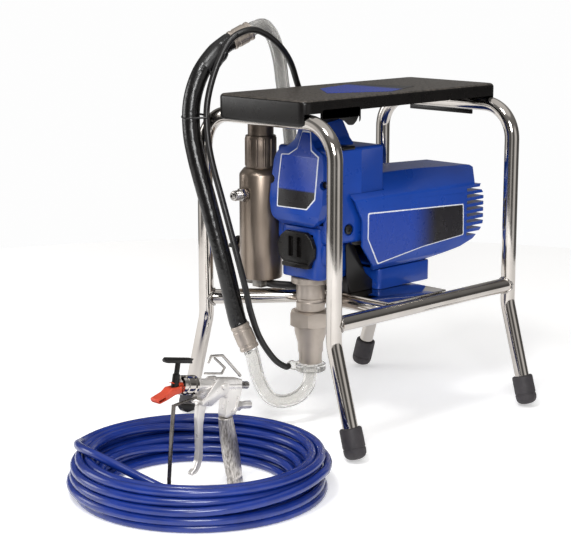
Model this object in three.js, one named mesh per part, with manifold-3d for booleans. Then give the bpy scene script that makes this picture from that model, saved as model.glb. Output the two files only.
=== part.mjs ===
// Airless paint sprayer on a tubular stand, with its suction set, spray gun and coiled paint hose.
// Millimetres, +Z up. In the stand's own frame X = 0, Y = 0 is the middle of its four feet, the pump
// side faces -Y and the floor is Z = 0. The finished group is moved so that the middle of everything
// but the loose hose stands over the origin.
import * as THREE from 'three';
import { mergeVertices } from 'three/addons/utils/BufferGeometryUtils.js';
import Module from 'manifold-3d';

const wasm = await Module();
wasm.setup();

// Driving dimensions of the stand
const GAP = 0.3;
const TUBE_RADIUS = 10.5;
const TUBE_BORE = 8.7;
const HOOP_Y = 184;
const LEG_X = 123.5;
const FOOT_X = 166.5;
const LEG_BEND_Z = 150;
const LEG_BEND_RADIUS = 60;
const HOOP_TOP_Z = 436;
const HOOP_TOP_RADIUS = 48;
const RAIL_Z = 176;
const CROSS_CORNER_X = -26;
const FRONT_CROSS_Y = -66;
const REAR_CROSS_Y = 34;
const FOOT_RADIUS = 15.2;
const FOOT_LENGTH = 42;
const FOOT_FLOOR = 12;

// Seat
const SEAT_HALF_X = 83;
const SEAT_HALF_Y = 198;
const SEAT_TOP = 465;
const SEAT_WALL = 3;
const SEAT_SIDE_Z = 447.2;

// Drive, motor and pump
const PUMP_Y = -101;
const DRIVE_HALF_X = 56;
const DRIVE_FRONT = -118;
const DRIVE_BACK = -14;
const DRIVE_TOP = 392;
const MOTOR_Z = 288;
const CRANK_Z = 339;
const CRANK_THROW = 12;
const LAYSHAFT_X = -22;
const LAYSHAFT_Z = 313.9;
const BOSS_BOTTOM = 212;
const PLATE_BOTTOM = RAIL_Z + TUBE_RADIUS + GAP;
const PLATE_TOP = PLATE_BOTTOM + 2.6;
const BOX_TOP = 218.4;
const MANIFOLD_X = -81;
const MANIFOLD_Y = -118;
const MANIFOLD_RADIUS = 30;

// Suction set
const CLEAR_RADIUS = 9.7;
const SLEEVE_RADIUS = 12.5;
const DRAIN_RADIUS = 4.5;

// Gun and paint hose
const GUN_X = 120;
const GUN_Y = -375;
const GUN_Z = 133;
const GUN_TILT = -11 * Math.PI / 180;
const HOSE_RADIUS = 5.5;
const COIL_X = 100;
const COIL_Y = -400;
const COIL_INNER = 101;
const COIL_OUTER = 164;
const COIL_HEIGHT = 52;

// Finishes
const CHROME = { color: 0xb4b0ac, roughness: 0.14, metalness: 1 };
const STEEL = { color: 0x9c9a96, roughness: 0.35, metalness: 1 };
const NICKEL = { color: 0x8e8277, roughness: 0.38, metalness: 0.9 };
const CAST = { color: 0xa49a90, roughness: 0.5, metalness: 0.8 };
const BLUE = { color: 0x2a4a9c, roughness: 0.35, metalness: 0 };
const BLUE_HOSE = { color: 0x2b3b86, roughness: 0.4, metalness: 0 };
const BLACK = { color: 0x26241f, roughness: 0.5, metalness: 0 };
const RUBBER = { color: 0x3a3736, roughness: 0.8, metalness: 0 };
const CLEAR = { color: 0xd2cec8, roughness: 0.2, metalness: 0, transparent: true, opacity: 0.5 };
const ORANGE = { color: 0xcb5d44, roughness: 0.4, metalness: 0 };
const ALUMINIUM = { color: 0xc9c5bf, roughness: 0.4, metalness: 0.9 };

// --- geometry helpers ---

function vector(x, y, z) {
  return new THREE.Vector3(x, y, z);
}

function cylinder(radius, bottom, top, sides = 20) {
  return cone(radius, radius, bottom, top, sides);
}

function cone(bottomRadius, topRadius, bottom, top, sides = 20) {
  const shape = new THREE.CylinderGeometry(topRadius, bottomRadius, top - bottom, sides);
  return shape.rotateX(Math.PI / 2).translate(0, 0, (bottom + top) / 2);
}

function box(x0, x1, y0, y1, z0, z1) {
  const shape = new THREE.BoxGeometry(x1 - x0, y1 - y0, z1 - z0);
  return shape.translate((x0 + x1) / 2, (y0 + y1) / 2, (z0 + z1) / 2);
}

// Turns a closed outline of [radius, height] pairs about Z.
function lathe(outline, sides = 20) {
  const points = outline.map(([radius, height]) => new THREE.Vector2(radius, height));
  if (THREE.ShapeUtils.area(points) < 0) points.reverse();
  if (outline[0][0] > 0) points.push(points[0].clone());
  return new THREE.LatheGeometry(points, sides).rotateX(Math.PI / 2);
}

// A round ring or sleeve between two radii.
function ring(inner, outer, bottom, top, sides = 20) {
  return lathe([[inner, bottom], [outer, bottom], [outer, top], [inner, top]], sides);
}

function outline(pairs) {
  return new THREE.Shape(pairs.map(([a, b]) => new THREE.Vector2(a, b)));
}

function extrudeZ(shape, bottom, top) {
  const solid = new THREE.ExtrudeGeometry(shape, { depth: top - bottom, bevelEnabled: false });
  return solid.translate(0, 0, bottom);
}

// Extrudes an outline of (y, z) pairs along X.
function extrudeX(shape, x0, x1) {
  const turn = new THREE.Matrix4().makeBasis(vector(0, 1, 0), vector(0, 0, 1), vector(1, 0, 0));
  const solid = new THREE.ExtrudeGeometry(shape, { depth: x1 - x0, bevelEnabled: false });
  return solid.applyMatrix4(turn).translate(x0, 0, 0);
}

// Extrudes an outline of (x, z) pairs along Y.
function extrudeY(shape, y0, y1) {
  const solid = new THREE.ExtrudeGeometry(shape, { depth: y1 - y0, bevelEnabled: false });
  return solid.rotateX(Math.PI / 2).translate(0, y1, 0);
}

function roundedRect(x0, x1, y0, y1, radius, steps = 4) {
  const corners = [[x1, y0, -1, 1], [x1, y1, -1, -1], [x0, y1, 1, -1], [x0, y0, 1, 1]];
  const pairs = [];
  corners.forEach(([x, y, sx, sy], quarter) => {
    for (let k = 0; k <= steps; k += 1) {
      const angle = (quarter - 1 + k / steps) * Math.PI / 2;
      pairs.push([x + sx * radius + radius * Math.cos(angle), y + sy * radius + radius * Math.sin(angle)]);
    }
  });
  return outline(pairs);
}

function polygon(radius, sides, turn = 0) {
  const pairs = [];
  for (let k = 0; k < sides; k += 1) {
    const angle = turn + 2 * Math.PI * k / sides;
    pairs.push([radius * Math.cos(angle), radius * Math.sin(angle)]);
  }
  return pairs;
}

// A path that runs straight from point to point, so that a sweep has one section at each.
class PointPath extends THREE.Curve {
  constructor(points) {
    super();
    this.points = points;
  }

  getPoint(t, target = new THREE.Vector3()) {
    const place = t * (this.points.length - 1);
    const index = Math.min(Math.floor(place), this.points.length - 2);
    return target.lerpVectors(this.points[index], this.points[index + 1], place - index);
  }

  getPointAt(u, target) {
    return this.getPoint(u, target);
  }

  getTangentAt(u, target = new THREE.Vector3()) {
    const step = 0.0005;
    const behind = this.getPoint(Math.max(u - step, 0));
    return target.copy(this.getPoint(Math.min(u + step, 1))).sub(behind).normalize();
  }
}

// Rounds each inner corner of a path with an arc of its own radius.
function rounded(corners, radii, steps = 5) {
  const points = [corners[0]];
  for (let k = 1; k < corners.length - 1; k += 1) {
    const back = corners[k - 1].clone().sub(corners[k]).normalize();
    const ahead = corners[k + 1].clone().sub(corners[k]).normalize();
    const turn = Math.PI - back.angleTo(ahead);
    const radius = radii[k - 1];
    const bisector = back.clone().add(ahead).normalize();
    const centre = corners[k].clone().addScaledVector(bisector, radius / Math.cos(turn / 2));
    const start = corners[k].clone().addScaledVector(back, radius * Math.tan(turn / 2)).sub(centre);
    const axis = back.clone().negate().cross(ahead).normalize();
    for (let j = 0; j <= steps; j += 1) {
      points.push(start.clone().applyAxisAngle(axis, turn * j / steps).add(centre));
    }
  }
  points.push(corners[corners.length - 1]);
  return points;
}

function sweep(path, steps, radius, sides, bore = 0) {
  const section = outline(polygon(radius, sides, Math.PI / sides));
  if (bore > 0) section.holes.push(new THREE.Path(outline(polygon(bore, 6)).getPoints()));
  return new THREE.ExtrudeGeometry(section, { steps, bevelEnabled: false, extrudePath: path });
}

function sweepPoints(points, radius, sides, bore = 0) {
  return sweep(new PointPath(points), points.length - 1, radius, sides, bore);
}

function sweepCurve(points, steps, radius, sides) {
  const curve = new THREE.CatmullRomCurve3(points.map((p) => vector(...p)), false, 'centripetal');
  return sweep(curve, steps, radius, sides);
}

// --- booleans ---

function toSolid(geometry) {
  const bare = geometry.clone();
  bare.deleteAttribute('normal');
  bare.deleteAttribute('uv');
  const merged = mergeVertices(bare, 1e-4);
  const index = merged.index.array;
  const triangles = [];
  for (let k = 0; k < index.length; k += 3) {
    const [a, b, c] = [index[k], index[k + 1], index[k + 2]];
    if (a !== b && b !== c && c !== a) triangles.push(a, b, c);
  }
  const vertProperties = new Float32Array(merged.attributes.position.array);
  const triVerts = new Uint32Array(triangles);
  return new wasm.Manifold(new wasm.Mesh({ numProp: 3, vertProperties, triVerts }));
}

function toGeometry(solid) {
  const mesh = solid.getMesh();
  const geometry = new THREE.BufferGeometry();
  geometry.setAttribute('position', new THREE.BufferAttribute(mesh.vertProperties, 3));
  geometry.setIndex(new THREE.BufferAttribute(mesh.triVerts, 1));
  geometry.computeVertexNormals();
  return geometry;
}

function cut(body, ...tools) {
  return toGeometry(tools.reduce((solid, tool) => solid.subtract(toSolid(tool)), toSolid(body)));
}

function join(body, ...others) {
  return toGeometry(others.reduce((solid, other) => solid.add(toSolid(other)), toSolid(body)));
}

function common(body, other) {
  return toGeometry(toSolid(body).intersect(toSolid(other)));
}

const machine = new THREE.Group();
const looseHose = new THREE.Group();

function add(name, geometry, finish, parent = machine) {
  const mesh = new THREE.Mesh(geometry, new THREE.MeshStandardMaterial(finish));
  mesh.name = name;
  parent.add(mesh);
  return mesh;
}

// --- stand ---

const legDirection = vector(LEG_X - FOOT_X, 0, LEG_BEND_Z).normalize();

// Each foot is a rubber cup with a rounded sole, set on its leg's slant and standing on the floor.
function footGeometry() {
  const cup = lathe([[0, 0], [8, 0.8], [12.5, 3.4], [15, 8], [FOOT_RADIUS, 12], [14.6, FOOT_LENGTH],
    [TUBE_RADIUS + GAP, FOOT_LENGTH], [TUBE_RADIUS + GAP, FOOT_FLOOR], [0, FOOT_FLOOR]], 20);
  const slant = new THREE.Quaternion().setFromUnitVectors(vector(0, 0, 1), legDirection);
  return cup.applyQuaternion(slant);
}

const foot = footGeometry();
foot.computeBoundingBox();
const FOOT_LIFT = -foot.boundingBox.min.z / legDirection.z;

function addFoot(name, side, y) {
  const geometry = footGeometry();
  const shift = legDirection.clone().multiplyScalar(FOOT_LIFT);
  geometry.translate(FOOT_X + shift.x, 0, shift.z);
  if (side < 0) geometry.rotateZ(Math.PI);
  geometry.translate(0, y, 0);
  add(name, geometry, RUBBER);
}

function hoopGeometry(y) {
  const start = vector(FOOT_X, y, 0).addScaledVector(legDirection, FOOT_LIFT + FOOT_FLOOR + 1);
  const right = [start, vector(LEG_X, y, LEG_BEND_Z), vector(LEG_X, y, HOOP_TOP_Z)];
  const left = right.map((p) => vector(-p.x, p.y, p.z)).reverse();
  const radii = [LEG_BEND_RADIUS, HOOP_TOP_RADIUS, HOOP_TOP_RADIUS, LEG_BEND_RADIUS];
  return sweepPoints(rounded([...right, ...left], radii), TUBE_RADIUS, 10, TUBE_BORE);
}

// A rail's ends are coped to fit round the legs that they are welded to.
function legCope(x, y) {
  return cylinder(TUBE_RADIUS + GAP, RAIL_Z - 30, RAIL_Z + 30).translate(x, y, 0);
}

function rightRail() {
  const rail = sweepPoints([vector(LEG_X, -HOOP_Y, RAIL_Z), vector(LEG_X, HOOP_Y, RAIL_Z)],
    TUBE_RADIUS, 10, TUBE_BORE);
  return cut(rail, legCope(LEG_X, -HOOP_Y), legCope(LEG_X, HOOP_Y));
}

// Each cross tube leaves a left leg on a slant, bends, and runs straight across to the right rail.
function crossTube(legY, crossY) {
  const corners = [vector(-LEG_X, legY, RAIL_Z), vector(CROSS_CORNER_X, crossY, RAIL_Z),
    vector(LEG_X, crossY, RAIL_Z)];
  const tube = sweepPoints(rounded(corners, [35]), TUBE_RADIUS, 10, TUBE_BORE);
  const railCope = cylinder(TUBE_RADIUS + GAP, -40, 40).rotateX(Math.PI / 2);
  return cut(tube, legCope(-LEG_X, legY), railCope.translate(LEG_X, crossY, RAIL_Z));
}

function seat() {
  const rim = roundedRect(-SEAT_HALF_X, SEAT_HALF_X, -SEAT_HALF_Y, SEAT_HALF_Y, 12);
  const inner = roundedRect(-SEAT_HALF_X + SEAT_WALL, SEAT_HALF_X - SEAT_WALL,
    -SEAT_HALF_Y + SEAT_WALL, SEAT_HALF_Y - SEAT_WALL, 9.5);
  const tray = cut(extrudeZ(rim, 430, SEAT_TOP), extrudeZ(inner, 420, SEAT_TOP - 4.5),
    box(-100, 100, -186 - TUBE_RADIUS, -166, 420, SEAT_SIDE_Z), box(-100, 100, -166, -92, 420, 438.5),
    box(-100, 100, -92, 186 + TUBE_RADIUS, 420, SEAT_SIDE_Z), box(-100, 100, 190, 210, 420, 434));
  const ribs = [-HOOP_Y, 0, HOOP_Y].map((y) => box(-81, 81, y - 4, y + 4, SEAT_SIDE_Z - GAP, 462));
  const hooks = [-1, 1].map((side) => extrudeX(outline([[-166, 450], [-166, 439], [-120, 434],
    [-110, 428], [-102, 430], [-92, 444], [-92, 450]]), side * 81.5 - 1.5, side * 81.5 + 1.5));
  return join(tray, ...ribs, ...hooks);
}

function addStand() {
  add('front_hoop', hoopGeometry(-HOOP_Y), CHROME);
  add('rear_hoop', hoopGeometry(HOOP_Y), CHROME);
  add('right_rail', rightRail(), CHROME);
  add('front_cross_tube', crossTube(-HOOP_Y, FRONT_CROSS_Y), CHROME);
  add('rear_cross_tube', crossTube(HOOP_Y, REAR_CROSS_Y), CHROME);
  add('mounting_plate', box(-50, LEG_X - 1, -76, 44, PLATE_BOTTOM, PLATE_TOP), CHROME);
  addFoot('foot_front_right', 1, -HOOP_Y);
  addFoot('foot_front_left', -1, -HOOP_Y);
  addFoot('foot_rear_right', 1, HOOP_Y);
  addFoot('foot_rear_left', -1, HOOP_Y);
  add('seat', seat(), BLACK);
}

// --- drive ---

// The gear case is open at the front, and its lower boss carries the pump.
function driveHousing() {
  const plan = outline([[-44, DRIVE_FRONT], [44, DRIVE_FRONT], [50, -112], [DRIVE_HALF_X, -60],
    [DRIVE_HALF_X, DRIVE_BACK], [-DRIVE_HALF_X, DRIVE_BACK], [-DRIVE_HALF_X, -60], [-50, -112]]);
  const body = extrudeZ(plan, 262, DRIVE_TOP);
  const boss = extrudeZ(roundedRect(-38, 38, -123, -62, 14), BOSS_BOTTOM, 284);
  const cavity = box(-49, 49, DRIVE_FRONT - 1, -24, 270, 384);
  const rodWindow = box(-26, 26, -140, -84, 233, 275);
  const rodBore = cylinder(9, BOSS_BOTTOM - 1, 275).translate(0, PUMP_Y, 0);
  const journalBore = cylinder(6.3, 7, 24).rotateX(Math.PI / 2);
  const layBore = cylinder(5.2, 18, 30).rotateX(Math.PI / 2);
  const recess = cylinder(8.5, 51, 60).rotateY(Math.PI / 2).translate(0, -82, 281);
  return cut(join(body, boss), cavity, rodWindow, rodBore,
    journalBore.clone().translate(0, 0, MOTOR_Z), journalBore.translate(0, 0, CRANK_Z),
    layBore.translate(LAYSHAFT_X, 0, LAYSHAFT_Z), recess);
}

// The front cover is a shield that narrows to a neck, and the neck runs back over the gear case.
function frontCover() {
  const face = outline([[-30, 286], [30, 286], [44, 297], [50, 318], [49, 345], [46, 372], [40, 387],
    [26, 392], [15, 402], [13.5, 430], [-13.5, 430], [-15, 402], [-26, 392], [-40, 387], [-46, 372],
    [-49, 345], [-50, 318], [-44, 297]]);
  const side = outline([[-118.3, 284], [-126, 286], [-130, 300], [-130, 372], [-126, 388], [-110, 420],
    [-54, 427], [-42, 404], [-42, 392.4], [-118.3, 392.4]]);
  const shell = common(extrudeY(face, -140, -30), extrudeX(side, -60, 60));
  return cut(shell, box(-40, 40, -125.5, -118, 296, 376), box(-9, 9, -108, -60, 392, 412));
}

function rodCover() {
  const face = roundedRect(-33, 33, 230, 277, 12);
  const slots = [-12, 2].map((x) => box(x, x + 10, -134, -122, 240, 268));
  return cut(extrudeY(face, -132, -123.3), ...slots);
}

function gear(teeth, module_, bottom, top, bore) {
  const pitch = module_ * teeth / 2;
  const pairs = [];
  for (let k = 0; k < teeth; k += 1) {
    const middle = 2 * Math.PI * k / teeth;
    const half = Math.PI / teeth / 2;
    const steps = [[-1.35, -1.15], [-0.55, 0.75], [0.55, 0.75], [1.35, -1.15]];
    steps.forEach(([side, rise]) => {
      const angle = middle + side * half * 0.82;
      const radius = pitch + rise * module_;
      pairs.push([radius * Math.cos(angle), radius * Math.sin(angle)]);
    });
  }
  const shape = outline(pairs);
  if (bore > 0) shape.holes.push(new THREE.Path(outline(polygon(bore, 16)).getPoints()));
  return extrudeZ(shape, bottom, top);
}

// A pinion's teeth are turned so that a gap faces the middle of its mate's tooth.
const MOTOR_TEETH = 10;
const WHEEL_TEETH = 24;
const LAY_TEETH = 10;
const CRANK_TEETH = 28;
const FIRST_MODULE = 2;
const SECOND_MODULE = 2 * Math.hypot(LAYSHAFT_X, CRANK_Z - LAYSHAFT_Z) / (LAY_TEETH + CRANK_TEETH);
const FIRST_ANGLE = Math.atan2(LAYSHAFT_Z - MOTOR_Z, LAYSHAFT_X);
const SECOND_ANGLE = Math.atan2(CRANK_Z - LAYSHAFT_Z, -LAYSHAFT_X);

function placed(geometry, turn, x, z) {
  return geometry.rotateZ(turn).rotateX(Math.PI / 2).translate(x, 0, z);
}

// Along-Y positions are given as distances towards the pump side.
function armature() {
  const pinion = gear(MOTOR_TEETH, FIRST_MODULE, 26, 36, 0);
  const shaft = join(cylinder(6, -176, 38, 20), cylinder(29, -112, -24, 24), cylinder(13, -140, -120, 20));
  return join(placed(shaft, 0, 0, MOTOR_Z), placed(pinion, FIRST_ANGLE, 0, MOTOR_Z));
}

function layGear() {
  const wheel = gear(WHEEL_TEETH, FIRST_MODULE, 26.5, 35.5, 0);
  const turn = FIRST_ANGLE + Math.PI + Math.PI / WHEEL_TEETH;
  const pinion = gear(LAY_TEETH, SECOND_MODULE, 35, 56, 0);
  const shaft = cylinder(4.8, 18.5, 60, 16);
  return join(placed(wheel, turn, LAYSHAFT_X, LAYSHAFT_Z),
    placed(pinion, SECOND_ANGLE, LAYSHAFT_X, LAYSHAFT_Z), placed(shaft, 0, LAYSHAFT_X, LAYSHAFT_Z));
}

function crankshaft() {
  const wheel = gear(CRANK_TEETH, SECOND_MODULE, 42, 55, 0);
  const turn = SECOND_ANGLE + Math.PI + Math.PI / CRANK_TEETH;
  const shaft = join(cylinder(6, 14.5, 60, 20), cylinder(21, 58, 76, 24),
    cylinder(7, 74, 93.2, 20).translate(0, CRANK_THROW, 0));
  const round = shaft.rotateX(Math.PI / 2).translate(0, 0, CRANK_Z);
  return join(placed(wheel, turn, 0, CRANK_Z), round);
}

function connectingRod() {
  const eye = CRANK_Z + CRANK_THROW;
  const bar = [cylinder(13, 94, 107).rotateX(Math.PI / 2).translate(0, 0, eye),
    box(-7, 7, -107, -94, 288, eye), box(-11, 11, -110, -92, 280, 300)];
  return cut(join(...bar), cylinder(7.4, 90, 110).rotateX(Math.PI / 2).translate(0, 0, eye));
}

function pumpRod() {
  const rod = lathe([[0, 168], [8.4, 168], [8.4, 179], [6.5, 180], [6.5, 268], [9.5, 269], [9.5, 279.7],
    [0, 279.7]], 20);
  return rod.translate(0, PUMP_Y, 0);
}

// The bracket stands on the mounting plate and takes the back of the pump boss.
function supportBracket() {
  const side = outline([[-73, PLATE_TOP + GAP], [-27, PLATE_TOP + GAP], [-39, 218], [-60, 256],
    [-61.7, 256], [-61.7, 211.5], [-73, 211.5]]);
  return extrudeX(side, -44, 44);
}

function addDrive() {
  add('drive_housing', driveHousing(), BLUE);
  add('front_cover', frontCover(), BLUE);
  add('rod_cover', rodCover(), BLACK);
  add('connecting_rod', connectingRod(), CAST);
  add('pump_rod', pumpRod(), CHROME);
  add('crankshaft', crankshaft(), STEEL);
  add('reduction_gear', layGear(), STEEL);
  add('support_bracket', supportBracket(), BLACK);
}

// --- motor ---

// The shield is a shell whose sides reach forward past the gear case and whose rear end is slotted.
function motorShield() {
  const across = (wall) => outline([[-54 + wall, 219], [54 - wall, 219], [65 - wall, 231], [65 - wall, 318],
    [32 - wall, 349 - wall], [-32 + wall, 349 - wall], [-65 + wall, 318], [-65 + wall, 231]]);
  const along = outline([[-82, 350], [-82, 322], [-65, 290], [-65, 258], [-38, 219], [66, 220], [150, 236],
    [196, 252], [203, 264], [203, 316], [198, 333], [184, 343], [100, 347], [10, 350]]);
  const inside = outline([[-90, 347], [-90, 222], [66, 223], [150, 239], [192, 255], [199, 266],
    [199, 315], [195, 331], [182, 340], [100, 344]]);
  const plan = (wall) => outline([[-65, -90], [65, -90], [65, 187 - wall], [61 - wall, 197 - wall],
    [51 - wall, 203 - wall], [-51 + wall, 203 - wall], [-61 + wall, 197 - wall], [-65, 187 - wall]]);
  const casing = common(extrudeY(across(0), -90, 210), extrudeX(along, -70, 70));
  const skin = common(casing, extrudeZ(plan(0), 200, 360));
  const room = common(extrudeY(across(3), -90, 210), extrudeX(inside, -70, 70));
  const hollow = common(room, extrudeZ(plan(3.5), 200, 360));
  const slots = [];
  for (let k = 0; k < 8; k += 1) {
    const z = 244 + k * 9.5;
    slots.push(box(-80, 80, 180 - Math.abs(k - 3.5), 210, z, z + 4.2));
  }
  return cut(skin, hollow, box(-56.4, 56.4, -200, DRIVE_BACK + GAP, 200, 420), ...slots);
}

function motorStator() {
  const can = lathe([[14, -10], [45, -10], [45, 150], [14, 150], [14, 155], [7, 155], [7, 146], [38, 146],
    [38, -6], [14, -6]], 24);
  return can.rotateX(-Math.PI / 2).translate(0, 0, MOTOR_Z);
}

function coolingFan() {
  const blades = [];
  for (let k = 0; k < 7; k += 1) {
    blades.push(box(8, 36, -1.5, 1.5, 160, 172).rotateZ(2 * Math.PI * k / 7));
  }
  return join(ring(6.3, 12, 159, 173, 20), ring(6.3, 38, 158, 161, 22), ...blades)
    .rotateX(-Math.PI / 2).translate(0, 0, MOTOR_Z);
}

function controlBox() {
  const outer = extrudeZ(roundedRect(-60, 60, -26, 82, 5), PLATE_TOP + GAP, BOX_TOP);
  const knobHole = cylinder(4.4, -70, -50).rotateY(Math.PI / 2).translate(0, 12, 204);
  return cut(outer, box(-57, 57, -23, 79, PLATE_TOP + 4, 230), knobHole,
    box(-70, -50, 44, 58, 194, 212), cylinder(7.4, -90, -70).rotateX(Math.PI / 2).translate(-30, 0, 204));
}

function pressureKnob() {
  const body = join(cone(13, 11, 60.4, 76, 22), cylinder(4, 50, 62, 16), box(-13.5, -4, -1.4, 1.4, 61, 77));
  return body.rotateY(-Math.PI / 2).translate(0, 12, 204);
}

function powerSwitch() {
  const rocker = outline([[-55.5, 196.5], [-55.5, 209.5], [-61.6, 211], [-61.8, 203], [-64.5, 197],
    [-60.8, 195]]);
  return extrudeY(rocker, 44.5, 57.5);
}

function addMotor() {
  add('motor_shield', motorShield(), BLUE);
  add('motor_stator', motorStator(), STEEL);
  add('armature', armature(), STEEL);
  add('cooling_fan', coolingFan(), BLACK);
  add('control_box', controlBox(), BLUE);
  add('circuit_board', box(-30, 50, -15, 70, PLATE_TOP + 8, PLATE_TOP + 9.6), BLUE);
  add('pressure_knob', pressureKnob(), BLACK);
  add('power_switch', powerSwitch(), BLACK);
  const gland = join(ring(4, 7, 74, 96, 16), ring(4, 10, 82.4, 86, 16));
  add('cord_gland', gland.rotateX(-Math.PI / 2).translate(-30, 0, 204), BLACK);
}

// --- pump and fluid section ---

function addPump() {
  const at = (geometry) => geometry.translate(0, PUMP_Y, 0);
  add('pump_cylinder', at(lathe([[8.7, 143], [15, 143], [15, 163.6], [20, 163.6], [20, 203.5], [27, 203.5],
    [27, BOSS_BOTTOM - GAP], [7.2, BOSS_BOTTOM - GAP], [7.2, 196], [8.7, 194]], 22)), CAST);
  const hex = extrudeZ(outline(polygon(29.5, 6, Math.PI / 6)), 142.4, 163.3);
  add('jam_nut', at(cut(hex, cylinder(15.3, 140, 165, 22))), CAST);
  add('intake_valve', at(lathe([[5, 89], [16, 89], [16.5, 106], [22.5, 140], [22.5, 142.1], [6, 142.1],
    [6, 128], [10.5, 122], [10.5, 103], [5, 99]], 22)), CAST);
  const ball = new THREE.SphereGeometry(8, 16, 10).rotateX(Math.PI / 2);
  add('intake_ball', at(ball.translate(0, 0, 105.6)), STEEL);
  const clip = join(ring(10.2, 21.5, 77.4, 88.6, 24), box(-28, -12, -19, -6, 77.4, 88.6));
  add('suction_clip', at(cut(clip, cylinder(10.2, 70, 100))), CLEAR);
}

// The manifold also carries the prime valve's stem on its left and the drain barb at its back.
function filterManifold() {
  const body = lathe([[8, 201], [MANIFOLD_RADIUS, 201], [MANIFOLD_RADIUS, 349], [23, 356.7], [14, 356.7],
    [14, 232], [8, 228]], 24);
  const outletPort = cylinder(5, 20, 40).rotateX(Math.PI / 2).translate(0, 0, 322);
  const stem = join(cylinder(9, 28, 37, 6), cylinder(3, 36, 47, 12)).rotateY(-Math.PI / 2);
  const barb = cylinder(7, -36.5, -28, 6).rotateX(Math.PI / 2).translate(0, 0, 262);
  return cut(join(body, stem.translate(0, -2, 243), barb), outletPort);
}

function filterCap() {
  const pairs = [];
  for (let k = 0; k < 36; k += 1) {
    const radius = k % 2 === 0 ? 22.4 : 21.2;
    pairs.push([radius * Math.cos(k * Math.PI / 18), radius * Math.sin(k * Math.PI / 18)]);
  }
  return join(extrudeZ(outline(pairs), 357.1, 402), cylinder(18, 400, 420), cylinder(13.7, 342, 358));
}

function addFluid() {
  const at = (geometry) => geometry.translate(MANIFOLD_X, MANIFOLD_Y, 0);
  add('filter_manifold', at(filterManifold()), NICKEL);
  add('filter_cap', at(filterCap()), NICKEL);
  add('filter_element', at(ring(7, 11, 236, 341.5, 20)), STEEL);
  const nose = lathe([[0, 22], [4.7, 22], [4.7, 30.6], [9, 30.6], [9, 39], [6.2, 40], [6.2, 53], [4.4, 53],
    [3, 56], [0, 56]], 16);
  add('outlet_fitting', at(nose.rotateX(Math.PI / 2).translate(0, 0, 322)), CHROME);
  const knob = cut(join(cylinder(12, 38, 47, 24), box(-3, 3, -17, 0, 38, 47)), cylinder(3.3, 36, 50, 12));
  add('prime_knob', at(knob.rotateY(-Math.PI / 2).translate(0, -2, 243)), BLACK);
  const elbow = join(cylinder(7.7, 195, 206, 20), box(-9, 9, -9, 9, 187.6, 200.7),
    cylinder(5.3, 8, 16, 16).rotateY(Math.PI / 2).translate(0, 0, 194.5));
  add('manifold_elbow', at(elbow), STEEL);
  const hose = sweepCurve([[MANIFOLD_X + 16.4, MANIFOLD_Y, 194.5], [-54, -117.6, 194.5],
    [-38, -110, 194.5], [-15, -102, 194.5]], 12, HOSE_RADIUS, 10);
  add('transfer_hose', cut(hose, cylinder(20.4, 150, 210, 22).translate(0, PUMP_Y, 0)), RUBBER);
}

// --- suction set: clear hose, sleeve, clear hose and strainer, with the thin drain tube beside it ---

const LOWER_FERRULE = [[-31, -188, 118], [-43, -196, 151]];
const UPPER_FERRULE = [[-109, -147, 531], [-99, -120, 545]];

// A point on the line through a sleeve, at a distance out from its first or second end.
function leadFrom(sleeve, end, distance) {
  const from = vector(...sleeve[1 - end]);
  const to = vector(...sleeve[end]);
  return to.addScaledVector(to.clone().sub(from).normalize(), distance).toArray();
}

const LOWER_HOSE = [[0, -101, 88.5], [0, -101, 74], [-1, -106, 55], [-5, -121, 42], [-13, -143, 38],
  [-20, -163, 48], [-25, -178, 76], leadFrom(LOWER_FERRULE, 0, 9), leadFrom(LOWER_FERRULE, 0, 0.5)];
const SLEEVE = [leadFrom(LOWER_FERRULE, 1, 0.5), leadFrom(LOWER_FERRULE, 1, 8), [-53, -203, 198],
  [-61, -208, 238], [-84, -213, 314], [-107, -213.5, 373], [-119, -212, 413], [-123, -207, 452],
  [-122, -193, 487], [-118, -172, 513], leadFrom(UPPER_FERRULE, 0, 8), leadFrom(UPPER_FERRULE, 0, 0.5)];
const UPPER_HOSE = [leadFrom(UPPER_FERRULE, 1, 0.5), leadFrom(UPPER_FERRULE, 1, 8), [-98, -94, 550],
  [-101, -74, 533], [-106, -57, 503], [-107, -49, 465], [-104, -42, 420], [-102, -38, 380],
  [-102, -36, 330], [-102, -36, 270], [-102, -36, 262.2]];
const DRAIN_TUBE = [[-22, -121.2, 83], [-22, -129, 83.5], [-27, -146, 97], [-31, -169, 130],
  [-29, -188, 170], [-27, -199, 203], [-33, -206, 241], [-58, -210, 317], [-84.5, -207, 375],
  [-97.5, -203, 414], [-102.5, -198, 447.5], [-102.5, -188, 481], [-98.5, -174, 514], [-93, -158, 537],
  [-81, -137, 547], [-75, -115, 541], [-72, -90, 524], [-79, -62, 500], [-91, -36, 468],
  [-93, -18, 430], [-89, -12, 380], [-82, -16, 320], [-80.5, -38, 275], [-81, -68, 262.3],
  [-81, -81, 262]];

function between(from, to, inner, outer) {
  const start = vector(...from);
  const end = vector(...to);
  const sleeve = ring(inner, outer, 0, start.distanceTo(end), 20);
  const direction = end.clone().sub(start).normalize();
  const turn = new THREE.Quaternion().setFromUnitVectors(vector(0, 0, 1), direction);
  return sleeve.applyQuaternion(turn).translate(start.x, start.y, start.z);
}

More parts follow.
